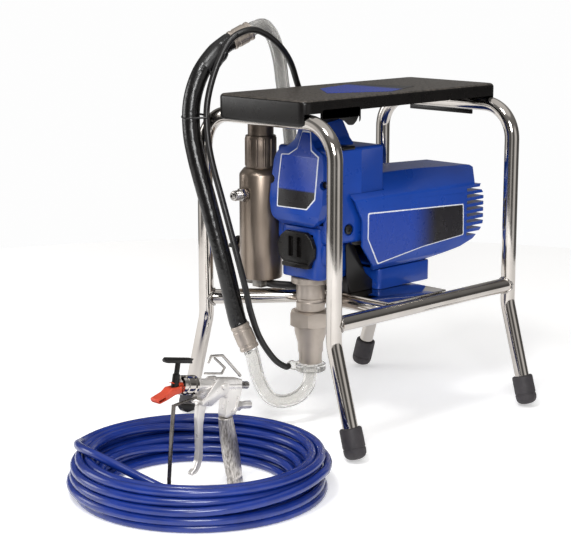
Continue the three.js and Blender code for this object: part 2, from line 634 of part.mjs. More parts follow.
function addSuction() {
  add('clear_hose_lower', sweepCurve(LOWER_HOSE, 18, CLEAR_RADIUS, 10), CLEAR);
  add('ferrule_lower', between(...LOWER_FERRULE, 6, 13.5), CAST);
  add('suction_sleeve', sweepCurve(SLEEVE, 28, SLEEVE_RADIUS, 10), RUBBER);
  add('ferrule_upper', between(...UPPER_FERRULE, 6, 13.5), CAST);
  add('clear_hose_upper', sweepCurve(UPPER_HOSE, 24, CLEAR_RADIUS, 10), CLEAR);
  const strainer = lathe([[6, 261.7], [11, 261.7], [12, 254], [18, 250], [18, 218], [15, 214], [0, 214],
    [0, 219], [6, 219]], 16);
  add('suction_strainer', strainer.translate(-102, -36, 0), STEEL);
  add('drain_tube', sweepCurve(DRAIN_TUBE, 48, DRAIN_RADIUS, 8), RUBBER);
}

// --- spray gun: in its own frame the barrel runs along -Y through the origin ---

const gun = new THREE.Group();
gun.position.set(GUN_X, GUN_Y, GUN_Z);
gun.rotation.x = GUN_TILT;
machine.add(gun);

// A round piece on the barrel's axis, between two distances forward of the trigger pin.
function onBarrel(geometry) {
  return geometry.rotateX(Math.PI / 2);
}

// The body's pin sticks out on both sides to carry the trigger's cheeks.
function gunBody() {
  const barrel = onBarrel(join(cylinder(8, -24, 50.5), cylinder(7, 48, 70)));
  const side = outline([[3, -41.3], [20, -35], [25, -6], [23, 9], [-13, 9], [-15, -5], [1, -14]]);
  const block = extrudeX(side, -7.5, 7.5);
  const pin = cylinder(3, -12.5, 12.5, 16).rotateY(Math.PI / 2).translate(0, -9, 0);
  return cut(join(barrel, block, pin), onBarrel(cylinder(2.4, -40, 75, 12)),
    onBarrel(cylinder(5, -40, -18, 12)));
}

function tipGuard() {
  const upper = outline([[-73.8, 8.5], [-73.8, 0], [-90, 3], [-103, 13], [-113, 24], [-111, 29],
    [-96, 22], [-84, 12]]);
  const lower = outline([[-73.8, -8.5], [-84, -11], [-95, -17], [-107, -22], [-112, -17], [-96, -9],
    [-90, -3], [-73.8, 0]]);
  const hub = onBarrel(cylinder(9.6, 73.8, 88));
  const tipBore = cylinder(4.8, -30, 60, 16).translate(0, -80.5, 0);
  return cut(join(hub, extrudeX(upper, -7, 7), extrudeX(lower, -7, 7)), tipBore,
    onBarrel(cylinder(3.6, 60, 100, 16)));
}

function tipHandle() {
  const bar = extrudeX(outline([[-101, 27.2], [-60, 27.2], [-60, 32.4], [-101, 32.4]]), -4, 4);
  const barrel = cylinder(4.5, -10, 13, 16).translate(0, -80.5, 0);
  const neck = cylinder(3.2, 12, 28, 12).translate(0, -80.5, 0);
  return join(barrel, neck, bar);
}

// A slender finger hangs between two cheeks that turn on the body's pin.
function gunTrigger() {
  const finger = outline([[-26, -18], [-42, -18], [-40, -40], [-36, -58], [-31.5, -80], [-31, -93],
    [-34, -103], [-39, -108.5], [-36, -111.5], [-28, -108], [-24, -100], [-22.5, -88], [-26, -68],
    [-29, -50], [-29, -32]]);
  const cheek = outline([[-2, -8], [0, 2], [-8, 10], [-21, 9], [-36, -12], [-42, -18], [-41, -24],
    [-26, -24], [-14, -15]]);
  const rightCheek = extrudeX(cheek, 8.2, 10.6);
  const leftCheek = extrudeX(cheek, -10.6, -8.2);
  const bridge = box(-9.5, 9.5, -41, -27, -24, -18);
  const pinBore = cylinder(3.3, -20, 20, 16).rotateY(Math.PI / 2).translate(0, -9, 0);
  return cut(join(extrudeX(finger, -4, 4), rightCheek, leftCheek, bridge), pinBore);
}

// The guard hangs from a strip under the nut, runs down in front of the fingers and turns back
// along the floor to the handle.
function triggerGuard() {
  const path = [vector(4.5, -82.5, -23), vector(4.5, -79, -66), vector(4.5, -74, -113),
    vector(4.5, -68.5, -145.7), vector(4.5, 28.5, -126.8)];
  const strip = extrudeX(outline([[-50, -12.4], [-84, -21.6], [-84, -25], [-50, -15.6]]), 5.6, 8);
  return join(sweepPoints(rounded(path, [60, 60, 9], 4), 2.8, 8), strip);
}

function addGun() {
  add('gun_body', gunBody(), ALUMINIUM, gun);
  add('gun_needle', onBarrel(join(cylinder(2.1, -26, 69, 12), cylinder(4.7, -39, -20, 12))), STEEL, gun);
  add('retaining_nut', onBarrel(ring(7.3, 11, 50.8, 73.5, 24)), CHROME, gun);
  add('tip_guard', tipGuard(), ORANGE, gun);
  add('tip_handle', tipHandle(), BLACK, gun);
  add('trigger', gunTrigger(), ALUMINIUM, gun);
  add('trigger_guard', triggerGuard(), STEEL, gun);
  const lock = outline([[-69, -22.4], [-47, -22.4], [-48.5, -27], [-52.5, -31], [-58, -32.5],
    [-63.5, -31], [-67.5, -27]]);
  add('trigger_lock', extrudeX(lock, -4.5, 4.5), BLACK, gun);
  const rake = Math.atan2(34, 87);
  const handle = lathe([[0, 0], [9.8, 0], [9.8, 78.5], [8.6, 82], [9.4, 84], [9.8, 91.4], [0, 91.4]], 24);
  add('gun_handle', handle.rotateX(Math.PI + rake).translate(0, 9, -39.6), NICKEL, gun);
  const hook = outline([[-33, 27], [-29, 37], [-9, 38], [27, 12.6], [25, 9.4], [-10, 9.4], [-2, 21.5],
    [-18, 33], [-27, 33], [-30, 26]]);
  add('gun_hook', extrudeX(hook, -1.2, 1.2), STEEL, gun);
}

// --- paint hose ---

// A swivel connector lies on the floor and points along its own direction.
function connector(x, y, direction) {
  const nut = lathe([[2.6, 0], [6.2, 0], [6.2, 16], [8, 16], [8, 30], [2.6, 30]], 12);
  const turn = new THREE.Quaternion().setFromUnitVectors(vector(0, 0, 1), direction.normalize());
  return nut.applyQuaternion(turn).translate(x, y, 8.2);
}

function addHose() {
  const coil = ring(COIL_INNER, COIL_OUTER, 0, COIL_HEIGHT, 40);
  add('hose_coil', coil.translate(COIL_X, COIL_Y, 0), BLUE_HOSE, looseHose);
  add('hose_connector', connector(147.7, -476.3, vector(-0.922, -0.387, 0)), STEEL, looseHose);
  add('far_connector', connector(190, -400, vector(-0.2, 0.98, 0)), STEEL, looseHose);
}

addStand();
addDrive();
addMotor();
addPump();
addFluid();
addSuction();
addGun();
addHose();

const bounds = new THREE.Box3().setFromObject(machine, true);
const middle = bounds.getCenter(new THREE.Vector3());
const group = new THREE.Group();
group.add(machine, looseHose);
machine.position.set(-middle.x, -middle.y, 0);
looseHose.position.copy(machine.position);

export default group;
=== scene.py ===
"""Looks of an airless paint sprayer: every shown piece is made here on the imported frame."""

import math

import bpy
from mathutils import Matrix, Quaternion, Vector


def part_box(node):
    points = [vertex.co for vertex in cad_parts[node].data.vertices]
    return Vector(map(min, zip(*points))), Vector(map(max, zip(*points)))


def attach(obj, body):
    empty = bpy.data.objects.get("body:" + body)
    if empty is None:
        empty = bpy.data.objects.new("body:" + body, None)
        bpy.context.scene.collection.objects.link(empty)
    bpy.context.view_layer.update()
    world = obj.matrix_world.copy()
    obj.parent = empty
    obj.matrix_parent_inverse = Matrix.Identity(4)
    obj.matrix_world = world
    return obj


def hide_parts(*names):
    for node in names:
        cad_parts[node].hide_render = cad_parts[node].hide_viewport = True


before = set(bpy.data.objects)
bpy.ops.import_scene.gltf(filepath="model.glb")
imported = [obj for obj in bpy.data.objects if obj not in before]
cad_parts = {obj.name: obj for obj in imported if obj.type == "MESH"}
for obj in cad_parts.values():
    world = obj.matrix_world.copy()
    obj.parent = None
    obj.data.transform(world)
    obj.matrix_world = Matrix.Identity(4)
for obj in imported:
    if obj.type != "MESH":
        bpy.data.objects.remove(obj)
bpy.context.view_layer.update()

MM = 0.001
ROOT = "stand_and_drive"
seat_low, seat_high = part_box("seat")
SHIFT = Vector(((seat_low.x + seat_high.x) / 2, (seat_low.y + seat_high.y) / 2, 0.0))


def at(x, y, z):
    """A place in the stand's own frame, in millimetres from the middle of its feet."""
    return Vector((x, y, z)) * MM + SHIFT


# --- camera, light and floor ---

AZIMUTH = math.radians(45.17)
ELEVATION = math.radians(11.59)


def set_camera():
    camera = bpy.data.objects.new("camera", bpy.data.cameras.new("camera"))
    bpy.context.scene.collection.objects.link(camera)
    camera.data.lens = 100.73
    camera.data.sensor_width = 36
    camera.location = at(1510.07, -1651.12, 657.49)
    camera.rotation_euler = (math.pi / 2 - ELEVATION, 0, AZIMUTH)
    bpy.context.scene.camera = camera


def soft_light(name, place, aim, size, power):
    lamp = bpy.data.objects.new(name, bpy.data.lights.new(name, "AREA"))
    bpy.context.scene.collection.objects.link(lamp)
    lamp.data.size = size
    lamp.data.energy = power
    lamp.location = place
    lamp.rotation_euler = (Vector(aim) - Vector(place)).to_track_quat("-Z", "Y").to_euler()


def ramp_of(nodes, links, factor, stops):
    ramp = nodes.new("ShaderNodeValToRGB")
    links.new(factor, ramp.inputs[0])
    while len(ramp.color_ramp.elements) < len(stops):
        ramp.color_ramp.elements.new(0.5)
    for element, (place, value) in zip(ramp.color_ramp.elements, stops):
        element.position = place
        element.color = (value, value * 0.985, value * 0.965, 1)
    return ramp.outputs["Color"]


def set_studio():
    """A white sweep in front of a dim room with upright light panels, which band the chrome."""
    world = bpy.data.worlds.new("studio")
    bpy.context.scene.world = world
    world.use_nodes = True
    nodes, links = world.node_tree.nodes, world.node_tree.links
    nodes.clear()
    ray = nodes.new("ShaderNodeLightPath")
    coords = nodes.new("ShaderNodeTexCoord")
    split = nodes.new("ShaderNodeSeparateXYZ")
    links.new(coords.outputs["Generated"], split.inputs[0])
    half = nodes.new("ShaderNodeMath")
    half.operation = "MULTIPLY_ADD"
    half.inputs[1].default_value = 0.5
    half.inputs[2].default_value = 0.5
    links.new(split.outputs["Z"], half.inputs[0])
    compass = nodes.new("ShaderNodeTexGradient")
    compass.gradient_type = "RADIAL"
    links.new(coords.outputs["Generated"], compass.inputs[0])
    panels = ramp_of(nodes, links, compass.outputs["Fac"], [(0.0, 0.12), (0.1, 1.0), (0.15, 1.0),
        (0.2, 0.1), (0.31, 0.12), (0.36, 0.75), (0.4, 0.12), (0.45, 0.1), (0.5, 0.9), (0.55, 1.0),
        (0.6, 0.1), (0.76, 0.14), (0.81, 1.0), (0.87, 0.16)])
    height = ramp_of(nodes, links, half.outputs[0], [(0.0, 0.5), (0.3, 0.3), (0.52, 0.25), (0.6, 0.5),
        (0.72, 0.24), (0.86, 0.3), (0.9, 0.9), (1.0, 0.9)])
    sides = ramp_of(nodes, links, half.outputs[0], [(0.0, 0.0), (0.3, 0.9), (0.62, 1.0), (0.74, 0.0)])
    blend = nodes.new("ShaderNodeMix")
    blend.data_type = "RGBA"
    links.new(sides, blend.inputs["Factor"])
    links.new(height, blend.inputs["A"])
    links.new(panels, blend.inputs["B"])
    seen = dial(nodes.new("ShaderNodeBackground"), Color=(0.985, 0.985, 0.985, 1))
    around = dial(nodes.new("ShaderNodeBackground"), Strength=0.85)
    links.new(blend.outputs["Result"], around.inputs["Color"])
    mix = nodes.new("ShaderNodeMixShader")
    links.new(ray.outputs["Is Camera Ray"], mix.inputs[0])
    links.new(around.outputs[0], mix.inputs[1])
    links.new(seen.outputs[0], mix.inputs[2])
    out = nodes.new("ShaderNodeOutputWorld")
    links.new(mix.outputs[0], out.inputs["Surface"])
    soft_light("key", (2.1, -2.0, 1.5), (0, 0, 0.2), 1.1, 54)
    soft_light("overhead", (0.5, -1.3, 2.2), (0, -0.1, 0.2), 0.5, 22)
    soft_light("fill", (-2.2, -1.5, 0.9), (0, 0, 0.25), 1.2, 17)
    bpy.context.scene.view_settings.view_transform = "Standard"


def set_floor(material):
    bpy.ops.mesh.primitive_circle_add(vertices=96, radius=1.5, fill_type="NGON", location=(0, 0, 0))
    floor = bpy.context.object
    floor.name = "floor"
    floor.data.materials.append(material)


# --- workshop helpers ---


def only(piece):
    if bpy.context.object and bpy.context.object.mode != "OBJECT":
        bpy.ops.object.mode_set(mode="OBJECT")
    bpy.ops.object.select_all(action="DESELECT")
    piece.select_set(True)
    bpy.context.view_layer.objects.active = piece
    return piece


def settle(piece):
    only(piece)
    bpy.ops.object.transform_apply(location=True, rotation=True, scale=True)
    return piece


def modify(piece, kind, **settings):
    only(piece)
    modifier = piece.modifiers.new(kind.lower(), kind)
    for name, value in settings.items():
        setattr(modifier, name, value)
    bpy.ops.object.modifier_apply(modifier=modifier.name)
    return piece


def soften(piece, width, steps=2, angle=32):
    return modify(piece, "BEVEL", width=width * MM, segments=steps, limit_method="ANGLE",
        angle_limit=math.radians(angle), harden_normals=False)


def carve(piece, *tools, way="DIFFERENCE"):
    for tool in tools:
        modify(piece, "BOOLEAN", object=tool, operation=way, solver="EXACT")
        bpy.data.objects.remove(tool)
    return piece


def gather(name, *parts):
    """Several bodies that are one piece to look at."""
    only(parts[0])
    for part in parts:
        part.select_set(True)
    if len(parts) > 1:
        bpy.ops.object.join()
    piece = bpy.context.object
    piece.name = name
    return piece


def outward(piece):
    only(piece)
    bpy.ops.object.mode_set(mode="EDIT")
    bpy.ops.mesh.select_all(action="SELECT")
    bpy.ops.mesh.remove_doubles(threshold=2e-6)
    bpy.ops.mesh.normals_make_consistent(inside=False)
    bpy.ops.object.mode_set(mode="OBJECT")
    return piece


def block(name, x0, x1, y0, y1, z0, z1, edge=0.0, steps=2):
    middle = at((x0 + x1) / 2, (y0 + y1) / 2, (z0 + z1) / 2)
    bpy.ops.mesh.primitive_cube_add(size=1, location=middle, scale=((x1 - x0) * MM, (y1 - y0) * MM,
        (z1 - z0) * MM))
    piece = bpy.context.object
    piece.name = name
    settle(piece)
    return soften(piece, edge, steps) if edge else piece


def drawn(name, points, closed=False, radius=0.0, around=0, caps=False):
    """A curve through these places, in metres, bare or with a round section."""
    curve = bpy.data.curves.new(name, "CURVE")
    curve.dimensions = "3D"
    curve.bevel_depth = radius
    curve.bevel_resolution = around
    curve.use_fill_caps = caps
    spline = curve.splines.new("POLY")
    spline.points.add(len(points) - 1)
    for point, place in zip(spline.points, points):
        point.co = (*place, 1)
    spline.use_cyclic_u = closed
    piece = bpy.data.objects.new(name, curve)
    bpy.context.scene.collection.objects.link(piece)
    return piece


def as_mesh(curve):
    only(curve)
    bpy.ops.object.convert(target="MESH")
    return bpy.context.object


def turned(name, profile, foot, top=None, sides=48, edge=0.0, steps=2):
    """A profile of (radius, height) pairs turned on the lathe, standing on foot towards top."""
    piece = as_mesh(drawn(name, [(radius * MM, 0, height * MM) for radius, height in profile]))
    bpy.ops.object.mode_set(mode="EDIT")
    bpy.ops.mesh.select_all(action="SELECT")
    bpy.ops.mesh.spin(steps=sides, angle=2 * math.pi, center=(0, 0, 0), axis=(0, 0, 1))
    bpy.ops.object.mode_set(mode="OBJECT")
    outward(piece)
    foot = Vector(foot)
    turn = (Vector(top) - foot).to_track_quat("Z", "Y") if top else Quaternion()
    piece.matrix_world = Matrix.Translation(at(*foot)) @ turn.to_matrix().to_4x4()
    settle(piece)
    return soften(piece, edge, steps) if edge else piece


def disc(radius, low, high, edge=0.0):
    """The closed profile of a plain round bar, with eased ends."""
    e = edge
    if not e:
        return [(0, low), (radius, low), (radius, high), (0, high)]
    return [(0, low), (radius - e, low), (radius - 0.3 * e, low + 0.3 * e), (radius, low + e),
        (radius, high - e), (radius - 0.3 * e, high - 0.3 * e), (radius - e, high), (0, high)]


def collar(inner, outer, low, high, edge=0.6):
    e = edge
    return [(inner, low), (outer - e, low), (outer, low + e), (outer, high - e), (outer - e, high),
        (inner, high), (inner, low)]


PLANES = {"X": lambda a, b, t: (t, a, b), "Y": lambda a, b, t: (a, t, b), "Z": lambda a, b, t: (a, b, t)}


def slab(name, outline, low, high, along, edge=0.0, steps=2, angle=32):
    """An outline cut from plate that lies square to one axis, between two places on it."""
    place = PLANES[along]
    piece = as_mesh(drawn(name, [at(*place(a, b, low)) for a, b in outline], closed=True))
    bpy.ops.object.mode_set(mode="EDIT")
    bpy.ops.mesh.select_all(action="SELECT")
    bpy.ops.mesh.edge_face_add()
    move = Vector(place(0, 0, high - low)) * MM
    bpy.ops.mesh.extrude_region_move(TRANSFORM_OT_translate={"value": move})
    bpy.ops.object.mode_set(mode="OBJECT")
    outward(piece)
    return soften(piece, edge, steps, angle) if edge else piece


def round_corners(outline, radius, steps=5):
    """Rounds every corner of a closed outline, each by as much as its sides allow."""
    made = []
    count = len(outline)
    for k in range(count):
        here = Vector(outline[k])
        back = Vector(outline[k - 1]) - here
        ahead = Vector(outline[(k + 1) % count]) - here
        bend = back.angle(ahead)
        reach = min(radius / math.tan(bend / 2), back.length * 0.45, ahead.length * 0.45)
        start, end = here + back.normalized() * reach, here + ahead.normalized() * reach
        for j in range(steps + 1):
            t = j / steps
            made.append(tuple(start * (1 - t) ** 2 + here * 2 * t * (1 - t) + end * t * t))
    return made


def ring_of(count, radius):
    """Places spaced evenly round a circle."""
    return [(radius * math.cos(2 * math.pi * k / count), radius * math.sin(2 * math.pi * k / count))
        for k in range(count)]


def rectangle(a0, a1, b0, b1):
    return [(a0, b0), (a1, b0), (a1, b1), (a0, b1)]


def bent(corners, radii, steps=12):
    """A tube's centre line with each inner corner bent to its radius."""
    corners = [Vector(c) for c in corners]
    line = [corners[0]]
    for k, radius in enumerate(radii, start=1):
        back = (corners[k - 1] - corners[k]).normalized()
        ahead = (corners[k + 1] - corners[k]).normalized()
        turn = math.pi - back.angle(ahead)
        centre = corners[k] + (back + ahead).normalized() * (radius / math.cos(turn / 2))
        start = corners[k] + back * (radius * math.tan(turn / 2)) - centre
        axis = (-back).cross(ahead).normalized()
        for j in range(steps + 1):
            line.append(Matrix.Rotation(turn * j / steps, 3, axis) @ start + centre)
    line.append(corners[-1])
    return line


def tube(name, line, radius, around=6, cyclic=False, open_ends=False):
    """A round tube along a line."""
    places = [at(*p) for p in line]
    return as_mesh(drawn(name, places, cyclic, radius * MM, around, not (cyclic or open_ends)))


def through(points, steps=8):
    """A smooth line through every one of these places (a Catmull-Rom line)."""
    p = [Vector(q) for q in points]
    p = [p[0] * 2 - p[1], *p, p[-1] * 2 - p[-2]]
    line = []
    for k in range(1, len(p) - 2):
        for j in range(steps):
            t = j / steps
            line.append(0.5 * (2 * p[k] + (p[k + 1] - p[k - 1]) * t
                + (2 * p[k - 1] - 5 * p[k] + 4 * p[k + 1] - p[k + 2]) * t ** 2
                + (3 * p[k] - p[k - 1] - 3 * p[k + 1] + p[k + 2]) * t ** 3))
    line.append(p[-2])
    return line


def fit(piece, material, slot_name, *stands_for, body=ROOT, angle=35):
    """Shades a finished piece, gives it its finish and sets it on its body of the machine."""
    piece.data.materials.clear()
    piece.data.materials.append(material)
    only(piece)
    bpy.ops.object.shade_smooth_by_angle(angle=math.radians(angle))
    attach(piece, body)
    if stands_for:
        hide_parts(*stands_for)
    return piece


# --- finishes ---


def shader(name):
    material = bpy.data.materials.new(name)
    material.use_nodes = True
    nodes = material.node_tree.nodes
    return material, nodes, material.node_tree.links, nodes["Principled BSDF"]


def dial(node, **inputs):
    """Sets a node's inputs by their names, with _ for each space."""
    for name, value in inputs.items():
        node.inputs[name.replace("_", " ")].default_value = value
    return node


def blotches(nodes, links, scale, detail=3.0, stretch=(1, 1, 1), turn=(0, 0, 0)):
    coords = nodes.new("ShaderNodeTexCoord")
    mapping = dial(nodes.new("ShaderNodeMapping"), Scale=stretch, Rotation=turn)
    noise = dial(nodes.new("ShaderNodeTexNoise"), Scale=scale, Detail=detail)
    links.new(coords.outputs["Object"], mapping.inputs["Vector"])
    links.new(mapping.outputs["Vector"], noise.inputs["Vector"])
    return noise.outputs["Fac"]


def spread(nodes, links, factor, low, high):
    ramp = dial(nodes.new("ShaderNodeMapRange"), From_Min=0.3, From_Max=0.7, To_Min=low, To_Max=high)
    links.new(factor, ramp.inputs["Value"])
    return ramp.outputs["Result"]


def two_tone(nodes, links, factor, dark, light):
    mix = nodes.new("ShaderNodeMix")
    mix.data_type = "RGBA"
    mix.inputs["A"].default_value = (*dark, 1)
    mix.inputs["B"].default_value = (*light, 1)
    links.new(spread(nodes, links, factor, 0.0, 1.0), mix.inputs["Factor"])
    return mix.outputs["Result"]


def grain(nodes, links, surface, height, depth):
    bump = dial(nodes.new("ShaderNodeBump"), Strength=1.0, Distance=depth * MM)
    links.new(height, bump.inputs["Height"])
    links.new(bump.outputs["Normal"], surface.inputs["Normal"])


def finish(name, dark, light, rough=(0.4, 0.5), metallic=0.0, mottle=60, grain_scale=900, depth=0.05,
        stretch=(1, 1, 1), specular=0.5):
    """A surface with uneven colour, uneven gloss and a fine grain, each at its own size."""
    material, nodes, links, surface = shader(name)
    colour = two_tone(nodes, links, blotches(nodes, links, mottle, 4.0, stretch), dark, light)
    links.new(colour, surface.inputs["Base Color"])
    gloss = spread(nodes, links, blotches(nodes, links, mottle * 2.3, 5.0, stretch), *rough)
    links.new(gloss, surface.inputs["Roughness"])
    grain(nodes, links, surface, blotches(nodes, links, grain_scale, 2.0, stretch), depth)
    dial(surface, Metallic=metallic, Specular_IOR_Level=specular)
    return material


def srgb(r, g, b):
    return tuple(((c / 255 + 0.055) / 1.055) ** 2.4 if c > 10 else c / 3294.6 for c in (r, g, b))


chrome = finish("chrome_plate", srgb(186, 180, 174), srgb(204, 199, 194), (0.06, 0.1), 1.0, 18, 1500, 0.002)
bright_steel = finish("bright_steel", srgb(150, 146, 142), srgb(196, 192, 188), (0.2, 0.32), 1.0, 60, 1400,
    0.02)
dull_steel = finish("machined_steel", srgb(110, 107, 104), srgb(150, 147, 143), (0.3, 0.45), 1.0, 80, 1200,
    0.03)
nickel = finish("satin_nickel", srgb(136, 123, 111), srgb(150, 137, 125), (0.3, 0.34), 0.9, 25, 1600, 0.02)
cap_nickel = finish("cap_nickel", srgb(96, 86, 78), srgb(128, 116, 106), (0.32, 0.45), 0.85, 40, 1600, 0.03)
pump_steel = finish("pump_steel", srgb(166, 156, 146), srgb(186, 176, 167), (0.36, 0.42), 0.75, 30, 1500,
    0.03)
blue_paint = finish("blue_paint", srgb(15, 60, 150), srgb(19, 66, 160), (0.27, 0.29), 0.0, 14, 900, 0.004,
    specular=0.45)
black_moulding = finish("black_moulding", srgb(13, 11, 11), srgb(20, 18, 17), (0.26, 0.32), 0.0, 50, 1500,
    0.02, specular=0.28)
black_paint = finish("black_paint", srgb(12, 11, 12), srgb(20, 19, 19), (0.3, 0.38), 0.0, 40, 900, 0.04)
foot_rubber = finish("foot_rubber", srgb(40, 37, 40), srgb(54, 50, 53), (0.55, 0.7), 0.0, 70, 1300, 0.08)
sleeve_rubber = finish("sleeve_rubber", srgb(9, 8, 9), srgb(18, 17, 17), (0.2, 0.28), 0.0, 30, 150, 0.5)
thin_rubber = finish("thin_rubber", srgb(16, 15, 15), srgb(26, 24, 24), (0.3, 0.4), 0.0, 60, 900, 0.04)
orange_moulding = finish("orange_moulding", srgb(190, 62, 36), srgb(202, 74, 46), (0.35, 0.42), 0.0, 40,
    1000, 0.03)
gun_metal = finish("satin_alloy", srgb(214, 210, 206), srgb(232, 229, 226), (0.26, 0.34), 0.6, 45, 900,
    0.02)
dark_steel = finish("dark_steel", srgb(84, 80, 77), srgb(120, 115, 110), (0.22, 0.32), 0.9, 60, 1200, 0.02)
gear_steel = finish("gear_steel", srgb(96, 94, 92), srgb(140, 136, 130), (0.25, 0.4), 1.0, 90, 1300, 0.03)
board_green = finish("board_green", srgb(30, 74, 44), srgb(46, 96, 60), (0.3, 0.5), 0.0, 120, 1300, 0.05)
white_line = finish("white_line", srgb(214, 218, 228), srgb(240, 242, 248), (0.3, 0.4), 0.0, 50, 900, 0.01)


def white_sweep():
    """The studio floor, bright enough of itself to run into the white behind it."""
    material = finish("white_sweep", (0.9, 0.9, 0.9), (0.92, 0.92, 0.92), (0.7, 0.8), 0.0, 2, 200, 0.0,
        specular=0.1)
    dial(material.node_tree.nodes["Principled BSDF"], Emission_Color=(1, 1, 1, 1), Emission_Strength=0.34)
    return material


def clear_plastic():
    """Milky clear hose: light goes through it, and its walls show at the edges."""
    material, nodes, links, surface = shader("clear_hose")
    tone = two_tone(nodes, links, blotches(nodes, links, 35), srgb(240, 239, 236), srgb(250, 249, 247))
    links.new(tone, surface.inputs["Base Color"])
    links.new(spread(nodes, links, blotches(nodes, links, 90), 0.06, 0.14), surface.inputs["Roughness"])
    grain(nodes, links, surface, blotches(nodes, links, 120), 0.15)
    dial(surface, Transmission_Weight=0.88, IOR=1.3, Specular_IOR_Level=0.6)
    return material


def knurled(name, dark, light):
    """Fine lengthwise ridges, with painted shade in their bottoms: the noise that raises them also darkens
    them.
    """
    material, nodes, links, surface = shader(name)
    ridges_and_painted_shade = blotches(nodes, links, 620, 3.0, stretch=(1, 1, 0.22), turn=(math.radians(-10.3), 0, 0))
    # painted shade: the colour runs darker into the ridge bottoms and lighter on the ridge tops
    links.new(two_tone(nodes, links, ridges_and_painted_shade, dark, light), surface.inputs["Base Color"])
    links.new(spread(nodes, links, ridges_and_painted_shade, 0.45, 0.28), surface.inputs["Roughness"])
    grain(nodes, links, surface, ridges_and_painted_shade, 0.5)
    dial(surface, Metallic=0.8)
    return material


def seat_top_grain():
    """Pebbled plastic: small raised beads that catch the light."""
    material, nodes, links, surface = shader("pebbled_plastic")
    coords = nodes.new("ShaderNodeTexCoord")
    beads = dial(nodes.new("ShaderNodeTexVoronoi"), Scale=420)
    links.new(coords.outputs["Object"], beads.inputs["Vector"])
    colour = two_tone(nodes, links, blotches(nodes, links, 260), srgb(26, 23, 21), srgb(86, 79, 72))
    links.new(colour, surface.inputs["Base Color"])
    links.new(spread(nodes, links, beads.outputs["Distance"], 0.3, 0.5), surface.inputs["Roughness"])
    grain(nodes, links, surface, beads.outputs["Distance"], -0.35)
    dial(surface, Specular_IOR_Level=0.6)
    return material


def hose_cover():
    """Smooth blue hose with a faint fine grain."""
    material, nodes, links, surface = shader("blue_hose")
    colour = two_tone(nodes, links, blotches(nodes, links, 30, 4.0), srgb(14, 38, 112), srgb(19, 48, 132))
    links.new(colour, surface.inputs["Base Color"])
    links.new(spread(nodes, links, blotches(nodes, links, 160), 0.2, 0.26), surface.inputs["Roughness"])
    grain(nodes, links, surface, blotches(nodes, links, 700, 3.0), 0.015)
    dial(surface, Specular_IOR_Level=0.6)
    return material


def label_print(name, top, bottom, start, end, axis):
    """Printed foil whose colour runs from one tone to another along an axis, in millimetres."""
    material, nodes, links, surface = shader(name)
    coords = nodes.new("ShaderNodeTexCoord")
    split = nodes.new("ShaderNodeSeparateXYZ")
    links.new(coords.outputs["Object"], split.inputs[0])
    along = nodes.new("ShaderNodeMapRange")
    along.interpolation_type = "SMOOTHSTEP"
    origin = SHIFT["XYZ".index(axis)]
    dial(along, From_Min=start * MM + origin, From_Max=end * MM + origin)
    links.new(split.outputs[axis], along.inputs["Value"])
    mix = nodes.new("ShaderNodeMix")
    mix.data_type = "RGBA"
    mix.inputs["A"].default_value = (*top, 1)
    mix.inputs["B"].default_value = (*bottom, 1)
    links.new(along.outputs["Result"], mix.inputs["Factor"])
    links.new(mix.outputs["Result"], surface.inputs["Base Color"])
    links.new(spread(nodes, links, blotches(nodes, links, 70), 0.26, 0.3), surface.inputs["Roughness"])
    grain(nodes, links, surface, blotches(nodes, links, 900), 0.002)
    return material


clear_hose = clear_plastic()
# the darker tone is painted shade for the ridge bottoms, the lighter one the ridge tops
knurled_nickel = knurled("knurled_nickel", srgb(120, 115, 110), srgb(226, 221, 216))
pebbled = seat_top_grain()
blue_hose = hose_cover()
seat_print = label_print("seat_print", srgb(30, 58, 160), srgb(14, 13, 15), 10, 34, "Y")
front_print = label_print("front_print", srgb(28, 26, 28), srgb(24, 60, 156), 333, 336, "Z")
side_print = label_print("side_print", srgb(24, 62, 158), srgb(20, 18, 24), 30, 92, "Y")

# --- stand ---

TUBE = 10.5
RAIL_HEIGHT = 176
HOOP_Y = 184
LEG_X, FOOT_X = 123.5, 166.5
LEG = Vector((LEG_X - FOOT_X, 0, 150)).normalized()


def hoop(name, y):
    start = Vector((FOOT_X, y, 0)) + LEG * 16
    right = [start, Vector((LEG_X, y, 150)), Vector((LEG_X, y, 436))]
    left = [Vector((-p.x, p.y, p.z)) for p in reversed(right)]
    line = bent([*right, *left], [60, 48, 48, 60], 16)
    fit(tube(name, line, TUBE, around=10), chrome, "chromed_tube", name)


def weld(name, x, y, direction):
    """The bead left where a rail meets a leg."""
    line = []
    side = Vector(direction).normalized()
    up = Vector((0, 0, 1))
    across = side.cross(up)
    for k in range(40):
        a = 2 * math.pi * k / 40
        wobble = 0.35 * math.sin(9 * a) + 0.25 * math.sin(17 * a + 1)
        ring = up * math.cos(a) * (TUBE + 0.6 + wobble) + across * math.sin(a) * (TUBE + 0.6 + wobble)
        depth = math.sqrt(max(0.0, (TUBE + 1.2) ** 2 - ring.dot(across) ** 2))
        line.append(Vector((x, y, RAIL_HEIGHT)) + ring + side * depth)
    return tube(name, line, 1.5, around=3, cyclic=True)


